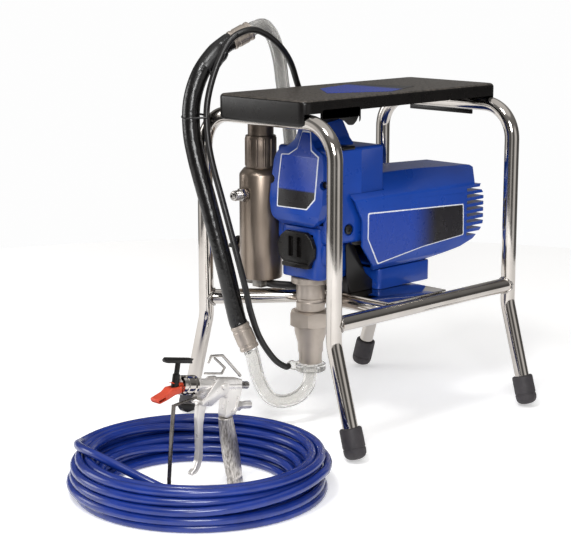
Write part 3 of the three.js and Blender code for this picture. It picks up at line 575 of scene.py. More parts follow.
def stand():
    hoop("front_hoop", -HOOP_Y)
    hoop("rear_hoop", HOOP_Y)
    rail = tube("right_rail", [(LEG_X, -175, RAIL_HEIGHT), (LEG_X, 175, RAIL_HEIGHT)], TUBE, around=10)
    fit(rail, chrome, "chromed_tube", "right_rail")
    for name, leg_y, cross_y in (("front_cross_tube", -HOOP_Y, -66), ("rear_cross_tube", HOOP_Y, 34)):
        reach = (Vector((-26, cross_y, 0)) - Vector((-LEG_X, leg_y, 0))).normalized()
        line = bent([Vector((-LEG_X, leg_y, RAIL_HEIGHT)) + reach * 9, (-26, cross_y, RAIL_HEIGHT),
            (114, cross_y, RAIL_HEIGHT)], [35])
        fit(tube(name, line, TUBE, around=10), chrome, "chromed_tube", name)
        beads = [weld("w", -LEG_X, leg_y, reach), weld("w", LEG_X, cross_y, (-1, 0, 0)),
            weld("w", LEG_X, leg_y, (0, -1 if leg_y > 0 else 1, 0))]
        fit(gather(name + "_welds", *beads), bright_steel, "chromed_tube")
    plate = block("mounting_plate", -50, 122.5, -76, 44, 186.8, 189.4, 0.7)
    fit(plate, chrome, "chromed_tube", "mounting_plate")


def feet():
    profile = [(0, 0.2), (6, 0.5), (9, 1.2), (12.5, 3.4), (14.4, 6.4), (15.1, 10), (15.2, 14), (14.6, 14.6),
        (14.6, 16.2), (15.2, 16.8), (15.0, 38.5), (14.6, 41), (13.4, 42), (11.2, 42.2), (10.7, 41),
        (10.7, 13), (0, 13)]
    for name, side, y in (("foot_front_right", 1, -HOOP_Y), ("foot_front_left", -1, -HOOP_Y),
            ("foot_rear_right", 1, HOOP_Y), ("foot_rear_left", -1, HOOP_Y)):
        foot = Vector((side * (FOOT_X + LEG.x * 4.2), y, 4.2 * LEG.z))
        top = foot + Vector((side * LEG.x, 0, LEG.z)) * 40
        fit(turned(name, profile, foot, top, 48), foot_rubber, "rubber", name)


def seat():
    tray = slab("seat", round_corners(rectangle(-83, 83, -198, 198), 13, 6), 430, 465, "Z", 5.5, 5, 50)
    inside = slab("inside", round_corners(rectangle(-80, 80, -195, 195), 10, 5), 410, 460.5, "Z")
    steps = (-195, -166, 447.2), (-166, -92, 438.5), (-92, 195, 447.2), (194, 215, 434)
    notches = [block("notch", -100, 100, low, high, 410, z) for low, high, z in steps]
    carve(tray, inside, *notches)
    hooks = []
    for side in (-1, 1):
        profile = round_corners([(-166, 452), (-166, 438.5), (-136, 438.5), (-122, 434), (-114, 428),
            (-106, 427.5), (-100, 432), (-94, 441), (-92, 452)], 5)
        hooks.append(slab("hook", profile, side * 81.5 - 1.5, side * 81.5 + 1.5, "X", 0.8))
    ribs = [block("rib", -80.5, 80.5, y - 4, y + 4, 446.9, 462, 0.8) for y in (-HOOP_Y, 0, HOOP_Y)]
    ribs += [block("rib", x - 1.2, x + 1.2, -194, 194, 449, 462) for x in (-40, 0, 40)]
    whole = fit(gather("seat", tray, *hooks, *ribs), black_moulding, "black_plastic", "seat", angle=40)
    whole.data.materials.append(pebbled)
    for face in whole.data.polygons:
        if face.normal.z > 0.55 and face.center.z > 0.46:
            face.material_index = 1
    diamond = [(-30, -53), (25, -96), (66, -11), (36, 71), (-51, 31)]
    fit(slab("seat_label", round_corners(diamond, 1.5, 3), 464.9, 465.4, "Z"), seat_print, "blue_paint")
    clip = block("seat_clip", -74, 45, 189, 192, 418, 424.5, 1.0)
    fit(clip, black_moulding, "black_plastic")


# --- drive ---


def drive_housing():
    plan = round_corners([(-46, -118), (46, -118), (50.5, -112), (56, -60), (56, -14), (-56, -14),
        (-56, -60), (-50.5, -112)], 6, 4)
    body = slab("drive_housing", plan, 262, 392, "Z", 5.0, 4, 50)
    boss = slab("boss", round_corners(rectangle(-38, 38, -123, -62), 12, 5), 212, 284, "Z", 2.5, 3, 50)
    cheeks = [slab("cheek", round_corners([(-118, 262), (-118, 236), (-96, 222), (-62, 222), (-62, 262)],
        6), x - 5, x + 5, "X", 2.0) for x in (-37, 37)]
    carve(body, boss, *cheeks, way="UNION")
    cavity = block("cavity", -49, 49, -115, -24, 270, 384)
    mouth = block("mouth", -40, 40, -124, -100, 288, 376)
    window = block("window", -26, 26, -140, -84, 233, 275)
    rod_bore = turned("bore", disc(9, 205, 275), (0, -101, 0), sides=32)
    screw_axis = (0, -82, 281), (1, -82, 281)
    recess = turned("recess", disc(8.5, 51, 60), *screw_axis, 32)
    bores = [turned("bore", disc(6.3, 0, 30), (0, -8, z), (0, -9, z), 24) for z in (288, 339)]
    step = block("step", 54.6, 60, -60, -14, 318, 388, 1.0)
    carve(body, cavity, mouth, window, rod_bore, recess, *bores, step)
    fit(body, blue_paint, "blue_paint", "drive_housing", angle=40)
    screw = turned("housing_screw", disc(6.6, 51.2, 54.5, 0.8), *screw_axis, 32)
    carve(screw, turned("hex", disc(3.2, 53, 56), *screw_axis, 6))
    fit(screw, black_paint, "tool_steel")
    cap = block("housing_plug", 20, 56, -96, -72, 390, 395, 1.6, 3)
    fit(cap, black_moulding, "black_plastic")


def cover_outline():
    right = [(30, 286), (44, 296), (50, 318), (49.5, 345), (47, 372), (42, 386), (26, 392), (15.5, 402),
        (13.5, 430)]
    return [*right, *[(-x, z) for x, z in reversed(right)]]


def cover_side(lift=0.0):
    """The cover seen from the side: its face leans back towards the top and folds over it."""
    return round_corners([(-118.3, 284), (-127, 285 - lift), (-132 - lift, 292), (-133 - lift, 302),
        (-124.5 - lift, 380), (-120, 391 + lift), (-109, 420 + lift), (-54, 427), (-42, 404), (-42, 392.4),
        (-118.3, 392.4)], 4, 5)


def front_cover():
    face = slab("front_cover", round_corners(cover_outline(), 9, 6), -140, -30, "Y")
    side = slab("side", cover_side(), -60, 60, "X")
    carve(face, side, way="INTERSECT")
    soften(face, 4.0, 4, 28)
    carve(face, block("pocket", -40, 40, -122, -117, 296, 370))
    for x in (-48, 48):
        carve(face, turned("recess", disc(6, -6, 10), (x, -124, 345), (x * 1.08, -136, 345), 32))
    fit(face, blue_paint, "blue_paint", "front_cover", angle=40)
    screws = [turned("screw", disc(4.2, -4.2, -2, 0.6), (x, -124, 345), (x * 1.02, -136, 345), 24)
        for x in (-46.5, 46.5)]
    fit(gather("cover_screws", *screws), black_paint, "tool_steel")


def front_label():
    outline = [(-34.5, 309), (23, 310), (37, 325), (37.5, 382), (20, 390), (9.5, 414), (-6, 414), (-7, 391),
        (-20, 382), (-34, 381), (-36, 341)]
    inner = [(1 + (x - 1) * 0.945, 352 + (z - 352) * 0.965) for x, z in outline]
    for name, shape, lift, material in (("label_border", outline, 0.35, white_line),
            ("label_plate", inner, 0.6, front_print)):
        plate = slab(name, round_corners(shape, 2.0, 4), -140, -100, "Y")
        carve(plate, slab("keep", cover_side(lift), -60, 60, "X"), way="INTERSECT")
        carve(plate, slab("behind", cover_side(-0.8), -61, 61, "X"))
        fit(plate, material, "blue_paint", angle=40)


def rod_cover():
    face = slab("rod_cover", round_corners([(-22, 232), (24, 232), (33, 244), (34, 258), (29, 270),
        (19, 278), (-19, 278), (-29, 270), (-34, 258), (-33, 244)], 5, 5), -132, -123.3, "Y", 1.8, 3)
    slots = [block("slot", x - 4.4, x + 4.4, -135, -126, 243, 271, 1.2) for x in (-8, 8)]
    carve(face, *slots)
    lip = slab("lip", round_corners(rectangle(-23, 25, 228.5, 235), 2, 3), -134, -123.6, "Y", 1.0, 2)
    fit(gather("rod_cover", face, lip), black_moulding, "black_plastic", "rod_cover", angle=40)


def support_bracket():
    side = [(-73, 189.8), (-27, 189.8), (-39, 218), (-60, 256), (-61.7, 256), (-61.7, 211.5), (-73, 211.5)]
    bracket = slab("support_bracket", side, -44, 44, "X", 1.2, 2)
    fit(bracket, black_paint, "black_paint", "support_bracket")
    cheek = slab("bracket_cheek", round_corners([(-70, 190), (-22, 190), (-22, 200), (-40, 214), (-62, 252),
        (-74, 262), (-80, 258), (-78, 214)], 3, 3), 45, 47.2, "X", 0.6)
    fit(cheek, black_paint, "black_paint")


# --- motor and controls ---


def shield_across(inset=0.0):
    i = inset
    return [(-59 + i, 219 + i), (59 - i, 219 + i), (65 - i, 226 + i), (65 - i, 321), (34 - i, 349 - i),
        (-34 + i, 349 - i), (-65 + i, 321), (-65 + i, 226 + i)]


def motor_shield():
    body = slab("motor_shield", round_corners(shield_across(), 7, 5), -90, 210, "Y")
    along = slab("along", round_corners([(-82, 352), (-82, 322), (-66, 292), (-66, 256), (-38, 219),
        (66, 220), (144, 230), (173, 238), (190, 250), (201, 264), (204, 278), (202, 292), (195, 305),
        (185, 316), (202, 321), (204, 332), (192, 343), (100, 347), (10, 350)], 5, 5), -70, 70, "X")
    plan = slab("plan", round_corners(rectangle(-65.5, 65.5, -90, 204.5), 15, 8), 200, 360, "Z")
    carve(body, along, plan, way="INTERSECT")
    carve(body, *[slab("corner", [(side * 34, 206), (side * 70, 170), (side * 70, 212), (side * 34, 212)],
        317.5, 360, "Z") for side in (-1, 1)])
    soften(body, 2.2, 3, 30)
    hollow = slab("hollow", round_corners(shield_across(3), 5, 4), -95, 199, "Y")
    carve(hollow, slab("inside", [(-100, 346), (-100, 222), (66, 223), (156, 236), (156, 342), (100, 344)],
        -70, 70, "X"), way="INTERSECT")
    front = block("front", -56.4, 56.4, -200, -13.7, 200, 420)
    slots = [block("slot", -90, 90, 158, 214, z, z + 4.8, 0.8) for z in [243.5 + k * 9.3 for k in range(8)]]
    carve(body, hollow, front, *slots)
    fit(body, blue_paint, "blue_paint", "motor_shield", angle=38)


def side_label():
    """A foil on each side of the shield: white edge, blue running to black."""
    outline = [(-56, 302), (150, 292), (151.5, 246), (60, 240), (-36, 228), (-56.5, 266)]
    for side in (-1, 1):
        for name, grow, out, material in (("border", 0, 65.35, white_line),
                ("foil", -2.0, 65.6, side_print)):
            shape = [(47 + (y - 47) * (1 + grow / 104), 265 + (z - 265) * (1 + grow / 38))
                for y, z in outline]
            low, high = sorted((side * 64.5, side * out))
            plate = slab(f"side_{name}_{'right' if side > 0 else 'left'}", round_corners(shape, 3, 4), low,
                high, "X")
            fit(plate, material, "blue_paint")


def control_box():
    shell = slab("control_box", round_corners(rectangle(-60, 60, -26, 82), 6, 5), 189.7, 218.4, "Z", 1.2, 2,
        50)
    inside = slab("inside", round_corners(rectangle(-57, 57, -23, 79), 4, 4), 193.5, 230, "Z")
    knob_hole = turned("hole", disc(4.4, -5, 8), (-62, 12, 204), (-61, 12, 204), 24)
    gland_hole = turned("hole", disc(7.4, -6, 8), (-30, 81, 204), (-30, 82, 204), 24)
    carve(shell, inside, knob_hole, gland_hole, block("hole", -64, -50, 44, 58, 194, 212))
    fit(shell, blue_paint, "blue_paint", "control_box", angle=40)
    knob = turned("knob", [(0, 0), (12.4, 0), (13, 0.6), (12.8, 5), (11.4, 14.6), (10.6, 15.6), (0, 15.6)],
        (-60.4, 12, 204), (-61.4, 12, 204), 64)
    grips = [turned("grip", disc(1.3, -1, 17), (-60.4, 12 + a, 204 + b), (-61.4, 12 + a, 204 + b), 10)
        for a, b in ring_of(16, 13.4)]
    carve(knob, *grips)
    stem = turned("stem", disc(4, -10, 2), (-60.4, 12, 204), (-61.4, 12, 204), 24)
    pointer = block("pointer", -77.4, -75, 8, 24, 203.2, 204.8, 0.3)
    fit(gather("pressure_knob", knob, stem, pointer), black_moulding, "black_plastic", "pressure_knob",
        body="pressure_control")
    rocker = slab("power_switch", round_corners([(-55.5, 196.5), (-55.5, 209.5), (-61.6, 211), (-61.8, 203),
        (-64.5, 197), (-60.8, 195)], 1.2, 3), 44.5, 57.5, "Y", 0.5)
    fit(rocker, black_moulding, "black_plastic", "power_switch", body="switch_rocker")
    gland = turned("cord_gland", [(4, -8), (7, -8), (7, 0.5), (9.6, 0.6), (10, 1.4), (10, 4), (9.4, 4.6),
        (7, 5), (6.6, 13), (6, 14), (4, 14), (4, -8)], (-30, 82, 204), (-30, 83, 204), 32)
    fit(gland, black_moulding, "black_plastic", "cord_gland")


# --- pump ---


def hexagon(across, turn=0.0):
    radius = across / math.sqrt(3)
    return [(radius * math.cos(turn + k * math.pi / 3), radius * math.sin(turn + k * math.pi / 3))
        for k in range(6)]


def hex_nut(name, across, x, y, low, high, turn=0.0, edge=0.8):
    nut = slab(name, [(x + a, y + b) for a, b in hexagon(across, turn)], low, high, "Z")
    cone = turned("chamfer", [(0, low - 0.1), (across * 0.5, low - 0.1),
        (across * 0.585, low + across * 0.045), (across * 0.585, high - across * 0.045),
        (across * 0.5, high + 0.1), (0, high + 0.1)], (x, y, 0), sides=64)
    return soften(carve(nut, cone, way="INTERSECT"), edge * 0.4, 2)


def pump():
    x, y = 0, -101
    cylinder = turned("pump_cylinder", [(8.7, 143), (15, 143), (15, 163.4), (19, 163.8), (20, 165),
        (20, 176), (18.6, 177.5), (18.6, 181), (20, 182.5), (20, 202), (22, 203.2), (26.4, 203.4),
        (27, 204.2), (27, 211), (26.2, 211.7), (7.2, 211.7), (7.2, 196), (8.7, 194), (8.7, 143)], (x, y, 0),
        sides=64)
    fit(cylinder, pump_steel, "cast_pump", "pump_cylinder")
    nut = hex_nut("jam_nut", 53, x, y, 142.4, 163.3, math.radians(8))
    carve(nut, turned("bore", disc(15.3, 130, 170), (x, y, 0), sides=48))
    fit(nut, pump_steel, "cast_pump", "jam_nut")
    valve = turned("intake_valve", [(5, 89), (15.4, 89), (16, 89.8), (16.2, 102), (17.6, 106), (18, 118),
        (21.6, 130), (22.4, 134), (22.5, 141.6), (22, 142.1), (6, 142.1), (6, 128), (10.5, 122),
        (10.5, 103), (5, 99), (5, 89)], (x, y, 0), sides=64)
    flats = [block("flat", s * 30 - 12, s * 30 + 12, y - 30, y + 30, 112, 131) for s in (-1, 1)]
    carve(valve, *flats)
    fit(valve, pump_steel, "cast_pump", "intake_valve")
    clip = turned("suction_clip", collar(10.2, 21.5, 77.4, 88.6, 1.5), (x, y, 0), sides=48)
    ear = block("ear", -28, -12, y - 19, y - 8, 77.6, 88.4, 1.4)
    fit(gather("suction_clip", clip, ear), clear_hose, "clear_plastic", "suction_clip")


# --- filter manifold ---


def fluid_section():
    x, y = -81, -118
    outlet = (x, y, 322), (x, y - 1, 322)
    body = turned("filter_manifold", [(8, 201), (27, 201), (29.2, 202), (30, 204), (30, 347.5),
        (29.2, 349.6), (24, 356), (22.6, 356.7), (14, 356.7), (14, 232), (8, 228), (8, 201)], (x, y, 0),
        sides=72)
    port = turned("port", disc(5, 20, 40), *outlet, 24)
    spot_face = turned("face", disc(11, 28.8, 40), *outlet, 32)
    carve(body, port, spot_face)
    stem = turned("stem", disc(9, 27, 37, 0.5), (x, y - 2, 243), (x - 1, y - 2, 243), 6)
    pin = turned("pin", disc(3, 36, 47), (x, y - 2, 243), (x - 1, y - 2, 243), 20)
    barb = turned("barb", disc(7, 27, 36.5, 0.5), (x, y, 262), (x, y + 1, 262), 6)
    fit(gather("filter_manifold", body, stem, pin, barb), nickel, "plated_body", "filter_manifold")
    cap = turned("filter_cap", [(0, 342), (13.7, 342), (13.7, 357), (21, 357.1), (21.4, 358), (21.4, 401),
        (20.8, 402), (18, 402.4), (18, 419), (17, 420), (0, 420)], (x, y, 0), sides=72)
    ribs = [turned("rib", disc(2.2, 360, 399, 1.2), (x + a, y + b, 0), sides=12)
        for a, b in ring_of(12, 20.6)]
    fit(gather("filter_cap", cap, *ribs), cap_nickel, "plated_body", "filter_cap")
    nose = turned("nose", [(0, 22), (4.7, 22), (4.7, 30), (8, 30.4), (8, 33), (6.5, 33.4), (6.5, 40.4),
        (6.8, 41), (6.8, 52), (6.2, 53), (4.4, 53.4), (3.4, 56), (2, 56), (2, 50), (0, 50)], *outlet, 32)
    threads = [turned("thread", collar(5, 7.3, 42 + 1.5 * k, 42.8 + 1.5 * k, 0.3), *outlet, 32)
        for k in range(6)]
    hexes = turned("hex", disc(9.6, 33.4, 40, 0.6), *outlet, 6)
    fit(gather("outlet_fitting", nose, hexes, *threads), bright_steel, "chromed_tube", "outlet_fitting")
    knob = turned("knob", [(3.3, 38), (11, 38), (12, 39), (12, 45.6), (11, 47), (3.3, 47), (3.3, 38)],
        (x, y - 2, 243), (x - 1, y - 2, 243), 48)
    lever = block("lever", x - 46.6, x - 38.4, y - 19, y - 8, 240, 246, 1.0)
    fit(gather("prime_knob", knob, lever), black_moulding, "black_plastic", "prime_knob",
        body="prime_handle")
    elbow = block("elbow", x - 9, x + 9, y - 9, y + 9, 187.6, 200.7, 1.2)
    spigot = turned("spigot", disc(7.7, 195, 206), (x, y, 0), sides=32)
    side = turned("side", disc(5.3, 8, 16, 0.4), (x, y, 194.5), (x + 1, y, 194.5), 24)
    fit(gather("manifold_elbow", elbow, spigot, side), dull_steel, "tool_steel", "manifold_elbow")
    plug = hex_nut("manifold_plug", 15, x - 20, y + 2, 190, 201, 0.2, 0.6)
    fit(plug, dull_steel, "tool_steel")
    hose = tube("transfer_hose", through([(x + 16.4, y, 194.5), (-54, -117.6, 194.5), (-38, -110, 194.5),
        (-20.6, -102.6, 194.5)]), 5.5, around=6)
    fit(hose, thin_rubber, "rubber", "transfer_hose")


# --- suction set ---

LOWER_FERRULE = ((-31, -188, 118), (-43, -196, 151))
UPPER_FERRULE = ((-109, -147, 531), (-99, -120, 545))


def lead(sleeve, end, distance):
    """A place out beyond a sleeve's end on its own line."""
    start, stop = Vector(sleeve[1 - end]), Vector(sleeve[end])
    return stop + (stop - start).normalized() * distance


def ferrule(name, ends):
    length = (Vector(ends[1]) - Vector(ends[0])).length
    profile = [(6, 0), (12.6, 0), (13.4, 0.8), (13.5, 4), (12.7, 5), (12.7, 8), (13.5, 9),
        (13.5, length - 9), (12.7, length - 8), (12.7, length - 5), (13.5, length - 4),
        (13.4, length - 0.8), (12.6, length), (6, length), (6, 0)]
    fit(turned(name, profile, ends[0], ends[1], 48), pump_steel, "cast_pump", name)


def strap(first, second, first_radius, second_radius, lean):
    """A narrow band drawn round two hoses that run side by side."""
    a, b = Vector(first), Vector(second)
    across = (b - a).normalized()
    side = Vector((0, math.cos(lean), math.sin(lean)))
    side = (side - across * side.dot(across)).normalized()
    line = []
    for centre, radius, turn in ((a, first_radius, math.pi / 2), (b, second_radius, -math.pi / 2)):
        for k in range(13):
            angle = turn + math.pi * k / 12
            line.append(centre + (across * math.cos(angle) + side * math.sin(angle)) * radius)
    return tube("strap", line, 1.5, around=3, cyclic=True)


def suction_set():
    low = through([(0, -101, 88.5), (0, -101, 74), (-1, -106, 55), (-5, -121, 42), (-13, -143, 38),
        (-20, -163, 48), (-25, -178, 76), lead(LOWER_FERRULE, 0, 9), lead(LOWER_FERRULE, 0, 0.4)], 10)
    high = through([lead(UPPER_FERRULE, 1, 0.4), lead(UPPER_FERRULE, 1, 8), (-98, -94, 550),
        (-101, -74, 533), (-106, -57, 503), (-107, -49, 465), (-104, -42, 420), (-102, -38, 380),
        (-102, -36, 330), (-102, -36, 270), (-102, -36, 262.2)], 10)
    for name, line in (("clear_hose_lower", low), ("clear_hose_upper", high)):
        hose = outward(tube(name, line, 9.7, around=8, open_ends=True))
        modify(hose, "SOLIDIFY", thickness=3.2 * MM, offset=-1)
        fit(hose, clear_hose, "clear_plastic", name)
    line = through([lead(LOWER_FERRULE, 1, 0.4), lead(LOWER_FERRULE, 1, 8), (-53, -203, 198),
        (-61, -208, 238), (-84, -213, 314), (-107, -213.5, 373), (-119, -212, 413), (-123, -207, 452),
        (-122, -193, 487), (-118, -172, 513), lead(UPPER_FERRULE, 0, 8), lead(UPPER_FERRULE, 0, 0.4)], 14)
    sleeve = tube("suction_sleeve", line, 12.3, around=10)
    fit(sleeve, sleeve_rubber, "rubber", "suction_sleeve")
    ferrule("ferrule_lower", LOWER_FERRULE)
    ferrule("ferrule_upper", UPPER_FERRULE)
    drain = through([(-22, -121.2, 83), (-22, -129, 83.5), (-27, -146, 97), (-31, -169, 130),
        (-29, -188, 170), (-27, -199, 203), (-33, -206, 241), (-58, -210, 317), (-84.5, -207, 375),
        (-97.5, -203, 414), (-102.5, -198, 447.5), (-102.5, -188, 481), (-98.5, -174, 514),
        (-93, -158, 537), (-81, -137, 547), (-75, -115, 541), (-72, -90, 524), (-79, -62, 500),
        (-91, -36, 468), (-93, -18, 430), (-89, -12, 380), (-82, -16, 320), (-80.5, -38, 275),
        (-81, -68, 262.3), (-81, -81, 262)], 8)
    fit(tube("drain_tube", drain, 4.4, around=6), thin_rubber, "rubber", "drain_tube")
    cuff = turned("sleeve_cuff", [(12, 0), (13.6, 1), (14.8, 6), (14.2, 11), (15, 17), (14.4, 24),
        (14.9, 31), (13.4, 37), (12, 38), (12, 0)], (-121, -186, 494), (-114.2, -160.5, 521.5), 40)
    straps = [strap((-121.5, -209.5, 432), (-101, -200.5, 432), 12.9, 4.8, 0.18),
        strap((-117.5, -170, 514), (-97.6, -171, 517), 15.2, 4.8, 0.8),
        strap((-111.5, -155, 526.5), (-91.5, -155, 539), 14.4, 4.8, 0.8)]
    tail = tube("tail", [(-101, -195, 433), (-94, -190, 434), (-84, -187, 433)], 1.4, around=3)
    fit(gather("sleeve_wrap", cuff, *straps, tail), black_paint, "rubber")
    strainer = turned("suction_strainer", [(6, 261.7), (11, 261.7), (12, 254), (17, 251), (18, 249),
        (18, 219), (15, 214), (0, 214), (0, 219), (6, 219), (6, 261.7)], (-102, -36, 0), sides=48)
    slots = [turned("slot", disc(1.4, 224, 244), (-102 + a, -36 + b, 0), sides=10)
        for a, b in ring_of(12, 18)]
    carve(strainer, *slots)
    fit(strainer, dull_steel, "tool_steel", "suction_strainer")


# --- spray gun, made in its own frame with the barrel along -Y ---

GUN_FRAME = (Matrix.Translation(at(120, -375, 133)) @ Matrix.Rotation(math.radians(-11), 4,
    "X") @ Matrix.Translation(-SHIFT))
PIN_AXIS = (0, -9, 0), (1, -9, 0)


def on_gun(piece):
    """Moves a piece made in the gun's own frame to where the gun stands."""
    piece.matrix_world = GUN_FRAME @ piece.matrix_world
    return settle(piece)


def barrel(name, profile, sides=48, edge=0.0):
    return turned(name, profile, (0, 0, 0), (0, -1, 0), sides, edge)


def spray_gun():
    core = barrel("barrel", [(2.4, -24), (7.2, -24), (8, -23), (8, 18), (7.1, 19), (7.1, 21), (8, 22),
        (8, 43), (8.8, 44), (8.8, 49), (8, 50.5), (7, 50.5), (7, 70), (2.4, 70), (2.4, -24)])
    grip_block = slab("block", round_corners([(3, -41.3), (20, -35), (25, -6), (23, 9), (-13, 9), (-15, -5),
        (1, -14)], 4, 5), -7.5, 7.5, "X", 1.2, 3)
    carve(grip_block, barrel("bore", disc(5, -40, -18), 24), slab("panel",
        round_corners([(6, -34), (17, -30), (20, -12), (8, -14)], 3, 4), 6.9, 9, "X"))
    pin = turned("pin", disc(3, -12.5, 12.5, 0.6), *PIN_AXIS, 24)
    heads = [turned("head", [(0, 10.8), (4.4, 10.8), (4.4, 11.8), (3.6, 12.4), (0, 12.4)], (0, -9, 0),
        (s, -9, 0), 24) for s in (-1, 1)]
    socket = turned("socket", [(0, -3), (5.6, -3), (6, 1), (6, 8), (4.6, 9), (4.6, 17), (5, 18), (5, 26),
        (4.2, 27), (0, 27)], (0, 22, -26), (0, 48, -24.5), 32)
    hexes = turned("hex", disc(7, 1, 8, 0.6), (0, 22, -26), (0, 48, -24.5), 6)
    screw = turned("screw", disc(2.4, 22, 34, 0.5), (0, 0, -2), (0, 1, -2), 20)
    whole = gather("gun_body", core, grip_block, pin, *heads, socket, hexes, screw)
    fit(on_gun(whole), gun_metal, "aluminium", "gun_body", body="gun")
    nut = barrel("retaining_nut", [(7.3, 50.8), (11.4, 50.8), (12.2, 51.6), (12.2, 54.5), (10.6, 55.6),
        (10.6, 58), (12, 59.2), (12, 66), (10.8, 67), (10.8, 68.6), (12, 69.6), (11.2, 73.5), (7.3, 73.5),
        (7.3, 50.8)])
    fit(on_gun(nut), chrome, "chromed_tube", "retaining_nut", body="gun")
    rake = math.atan2(34, 87)
    axis = Vector((0, math.sin(rake), -math.cos(rake)))
    start = Vector((0, 9, -39.6))
    handle = turned("gun_handle", [(0, 0), (8.6, 0), (9, 0.6), (9.6, 12), (10.6, 28), (11, 46), (10.8, 62),
        (10.2, 78), (9.4, 80), (9.4, 82), (10.1, 83.4), (10.1, 90), (9.2, 91.3), (0, 91.3)], start,
        start + axis, 48)
    fit(on_gun(handle), knurled_nickel, "plated_body", "gun_handle", body="gun", angle=30)
    guard_line = bent([(4.5, -82.5, -23), (4.5, -79, -66), (4.5, -74, -113), (4.5, -68.5, -145.7),
        (4.5, 28.5, -126.8)], [60, 60, 9], 8)
    rod = tube("guard", guard_line, 2.5, around=6)
    strip = slab("strip", [(-50, -12.4), (-84, -21.6), (-84, -25), (-50, -15.6)], 5.6, 8, "X", 0.5)
    fit(on_gun(gather("trigger_guard", rod, strip)), dark_steel, "tool_steel", "trigger_guard", body="gun")
    hook = slab("gun_hook", round_corners([(-33, 27), (-29, 37), (-9, 38), (27, 12.6), (25, 9.4), (22, 12),
        (-10, 35), (-27, 34), (-30.5, 26)], 1.2, 3), -1.2, 1.2, "X", 0.4)
    inner = slab("inner", round_corners([(-22, 34.6), (-1.5, 22), (-6, 13), (-36, 13), (-36, 15.4),
        (-7.5, 15.4), (-4.6, 21), (-23.5, 32.4)], 1.0, 3), -1.1, 1.1, "X", 0.4)
    fit(on_gun(gather("gun_hook", hook, inner)), bright_steel, "tool_steel", "gun_hook", body="gun")


def gun_trigger():
    finger = slab("trigger", round_corners([(-26, -18), (-42, -18), (-40, -40), (-36, -58), (-31.5, -80),
        (-31, -93), (-34, -103), (-39, -108.5), (-36, -111.5), (-28, -108), (-24, -100), (-22.5, -88),
        (-26, -68), (-29, -50), (-29, -32)], 9, 6), -4, 4, "X", 1.8, 4, 30)
    cheeks = []
    for side in (-1, 1):
        outline = round_corners([(-2, -8), (0, 2), (-8, 10), (-21, 9), (-36, -12), (-42, -18), (-41, -24),
            (-26, -24), (-14, -15)], 3, 4)
        cheeks.append(slab("cheek", outline, side * 9.4 - 1.2, side * 9.4 + 1.2, "X", 0.6))
    bridge = block("bridge", -9.5, 9.5, -41, -27, -24, -18, 1.2)
    bores = turned("bore", disc(3.3, -20, 20), *PIN_AXIS, 24)
    trigger = carve(gather("trigger", finger, *cheeks, bridge), bores)
    fit(on_gun(trigger), gun_metal, "aluminium", "trigger", body="gun_trigger", angle=40)
    lock = slab("trigger_lock", round_corners([(-69, -22.4), (-47, -22.4), (-48.5, -27), (-52.5, -31),
        (-58, -32.5), (-63.5, -31), (-67.5, -27)], 2, 3), -4.5, 4.5, "X", 0.9)
    fit(on_gun(lock), black_moulding, "black_plastic", "trigger_lock", body="lock_lever")


def tip_guard():
    hub = barrel("tip_guard", [(3.6, 73.8), (9, 73.8), (9.6, 74.4), (9.6, 84), (8.6, 88), (3.6, 88),
        (3.6, 73.8)])
    shapes = [[(-73.8, 8.5), (-73.8, 0), (-90, 3), (-103, 13), (-113, 24), (-111, 29), (-96, 22),
        (-84, 12)], [(-73.8, -8.5), (-84, -11), (-95, -17), (-107, -22), (-112, -17), (-96, -9), (-90, -3),
        (-73.8, 0)]]
    wings = [slab("wing", round_corners(shape, 3, 4), -7, 7, "X", 1.5, 3) for shape in shapes]
    scoop = slab("scoop", round_corners([(-98, -13), (-109, -18), (-107, -20.5), (-97, -16)], 1.5, 3), -5,
        12, "X")
    carve(wings[1], scoop)
    carve(hub, *wings, way="UNION")
    carve(hub, turned("tip_bore", disc(4.8, -30, 60), (0, -80.5, 0), sides=32),
        barrel("bore", disc(3.6, 60, 100), 24))
    fit(on_gun(hub), orange_moulding, "orange_plastic", "tip_guard", body="spray_guard", angle=40)
    stem = turned("stem", [(0, -10), (4.5, -10), (4.5, 13), (3.2, 13.6), (3.2, 28), (0, 28)], (0, -80.5, 0),
        sides=32)
    bar = slab("bar", round_corners([(-101, 26.8), (-60, 26.8), (-62, 29.8), (-59, 32.8), (-100, 32.8),
        (-103, 29.8)], 1.4, 3), -4, 4, "X", 1.0)
    fit(on_gun(gather("tip_handle", stem, bar)), black_moulding, "black_plastic", "tip_handle",
        body="spray_tip")


# --- paint hose ---

HOSE = 5.5
NEAR_END = (147.7, -476.3, 8.2)
FAR_END = (190, -400, 8.2)
COIL_MIDDLE = Vector((100, -400, 0))
LAYERS = ((107, 157.5, 4.6), (157.5, 113, 4.05), (119, 158, 3.5), (158.4, 131, 2.45), (133, 156, 2.04))
LAYER_RISE = 10.4


def round_coil(angle, radius, height):
    return COIL_MIDDLE + Vector((math.cos(angle) * radius, math.sin(angle) * radius, height))


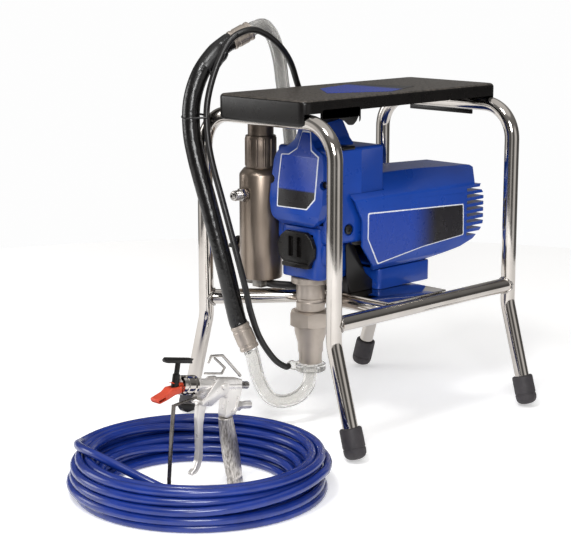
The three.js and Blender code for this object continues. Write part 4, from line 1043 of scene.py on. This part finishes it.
def coil_line():
    """The hose winds out and in again, layer upon layer, and its far end drops inside the coil."""
    first = math.radians(-22)
    line = [Vector(NEAR_END) + Vector((0.922, 0.387, 0)) * d for d in (-0.3, 12)]
    line.append(round_coil(first - 0.36, 98, 6.8))
    angle = first
    for level, (start, end, turns) in enumerate(LAYERS):
        steps = round(turns * 56)
        for k in range(steps):
            share = k / steps
            sway = 0.9 * math.sin(2 * angle + 0.7) + 0.7 * math.sin(3 * angle + 1.9 * level)
            rise = max(0.0, (share * turns - turns + 0.24) / 0.24) if level < len(LAYERS) - 1 else 0.0
            rise = rise * rise * (3 - 2 * rise)
            next_start = LAYERS[min(level + 1, len(LAYERS) - 1)][0]
            radius = start + (end - start) * share + (next_start - end) * rise + 0.6 * sway
            droop = 0.5 * math.sin(angle * 1.3 + 2 * level) if level else 0.0
            line.append(round_coil(angle, radius, HOSE + 0.1 + LAYER_RISE * (level + rise) + droop))
            angle += 2 * math.pi * turns / steps
    tail = [(0.0, 156, 47.5), (0.2, 151, 54), (0.4, 142, 58), (0.6, 130, 58.5), (0.8, 117, 54),
        (1.0, 106, 47), (1.25, 99, 39), (1.5, 96.5, 31.5), (1.75, 95.5, 26), (2.0, 95, 22), (2.2, 94.5, 18),
        (2.4, 93.5, 12.5), (2.49, 92.5, 10)]
    far = [tuple(Vector(FAR_END) - Vector((-0.2, 0.98, 0)) * d) for d in (10, -0.3)]
    line += through([*[tuple(round_coil(angle + step, radius, z)) for step, radius, z in tail], *far], 6)
    return line


def swivel(name, place, direction):
    way = Vector(direction).normalized()
    foot = Vector(place)
    crimp = turned("crimp", [(2.6, 0), (6, 0), (6.4, 0.8), (6.4, 3.4), (5.9, 4.2), (6.4, 5), (6.4, 15),
        (5.4, 16), (2.6, 16), (2.6, 0)], foot, foot + way, 32)
    nut = turned("nut", [(2.6, 16.2), (7.4, 16.2), (8.1, 17), (8.1, 29), (7.4, 30), (2.6, 30), (2.6, 16.2)],
        foot, foot + way, 6)
    return fit(gather(name, crimp, nut), bright_steel, "tool_steel", name)


def paint_hose():
    near = swivel("hose_connector", NEAR_END, (-0.922, -0.387, 0))
    far = swivel("far_connector", FAR_END, (-0.2, 0.98, 0))
    line = coil_line()
    hose = drawn("paint_hose", [at(*place) for place in line], radius=HOSE * MM, around=4, caps=True)
    hose.data.materials.append(blue_hose)
    hose.data.splines[0].use_smooth = True
    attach(hose, ROOT)
    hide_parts("hose_coil")


INNARDS = {"crankshaft": gear_steel, "reduction_gear": gear_steel, "armature": dull_steel,
    "motor_stator": dull_steel, "connecting_rod": dull_steel, "pump_rod": chrome,
    "cooling_fan": black_moulding, "filter_element": dull_steel, "intake_ball": bright_steel,
    "gun_needle": bright_steel, "circuit_board": board_green, }


def finish_innards():
    """The works behind the covers keep their CAD shapes and get their own metals."""
    for name, material in INNARDS.items():
        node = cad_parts[name]
        node.data.materials.clear()
        node.data.materials.append(material)


set_camera()
paint_hose()
stand()
feet()
seat()
drive_housing()
front_cover()
front_label()
rod_cover()
support_bracket()
motor_shield()
side_label()
control_box()
pump()
fluid_section()
suction_set()
spray_gun()
gun_trigger()
tip_guard()
finish_innards()
set_studio()
set_floor(white_sweep())
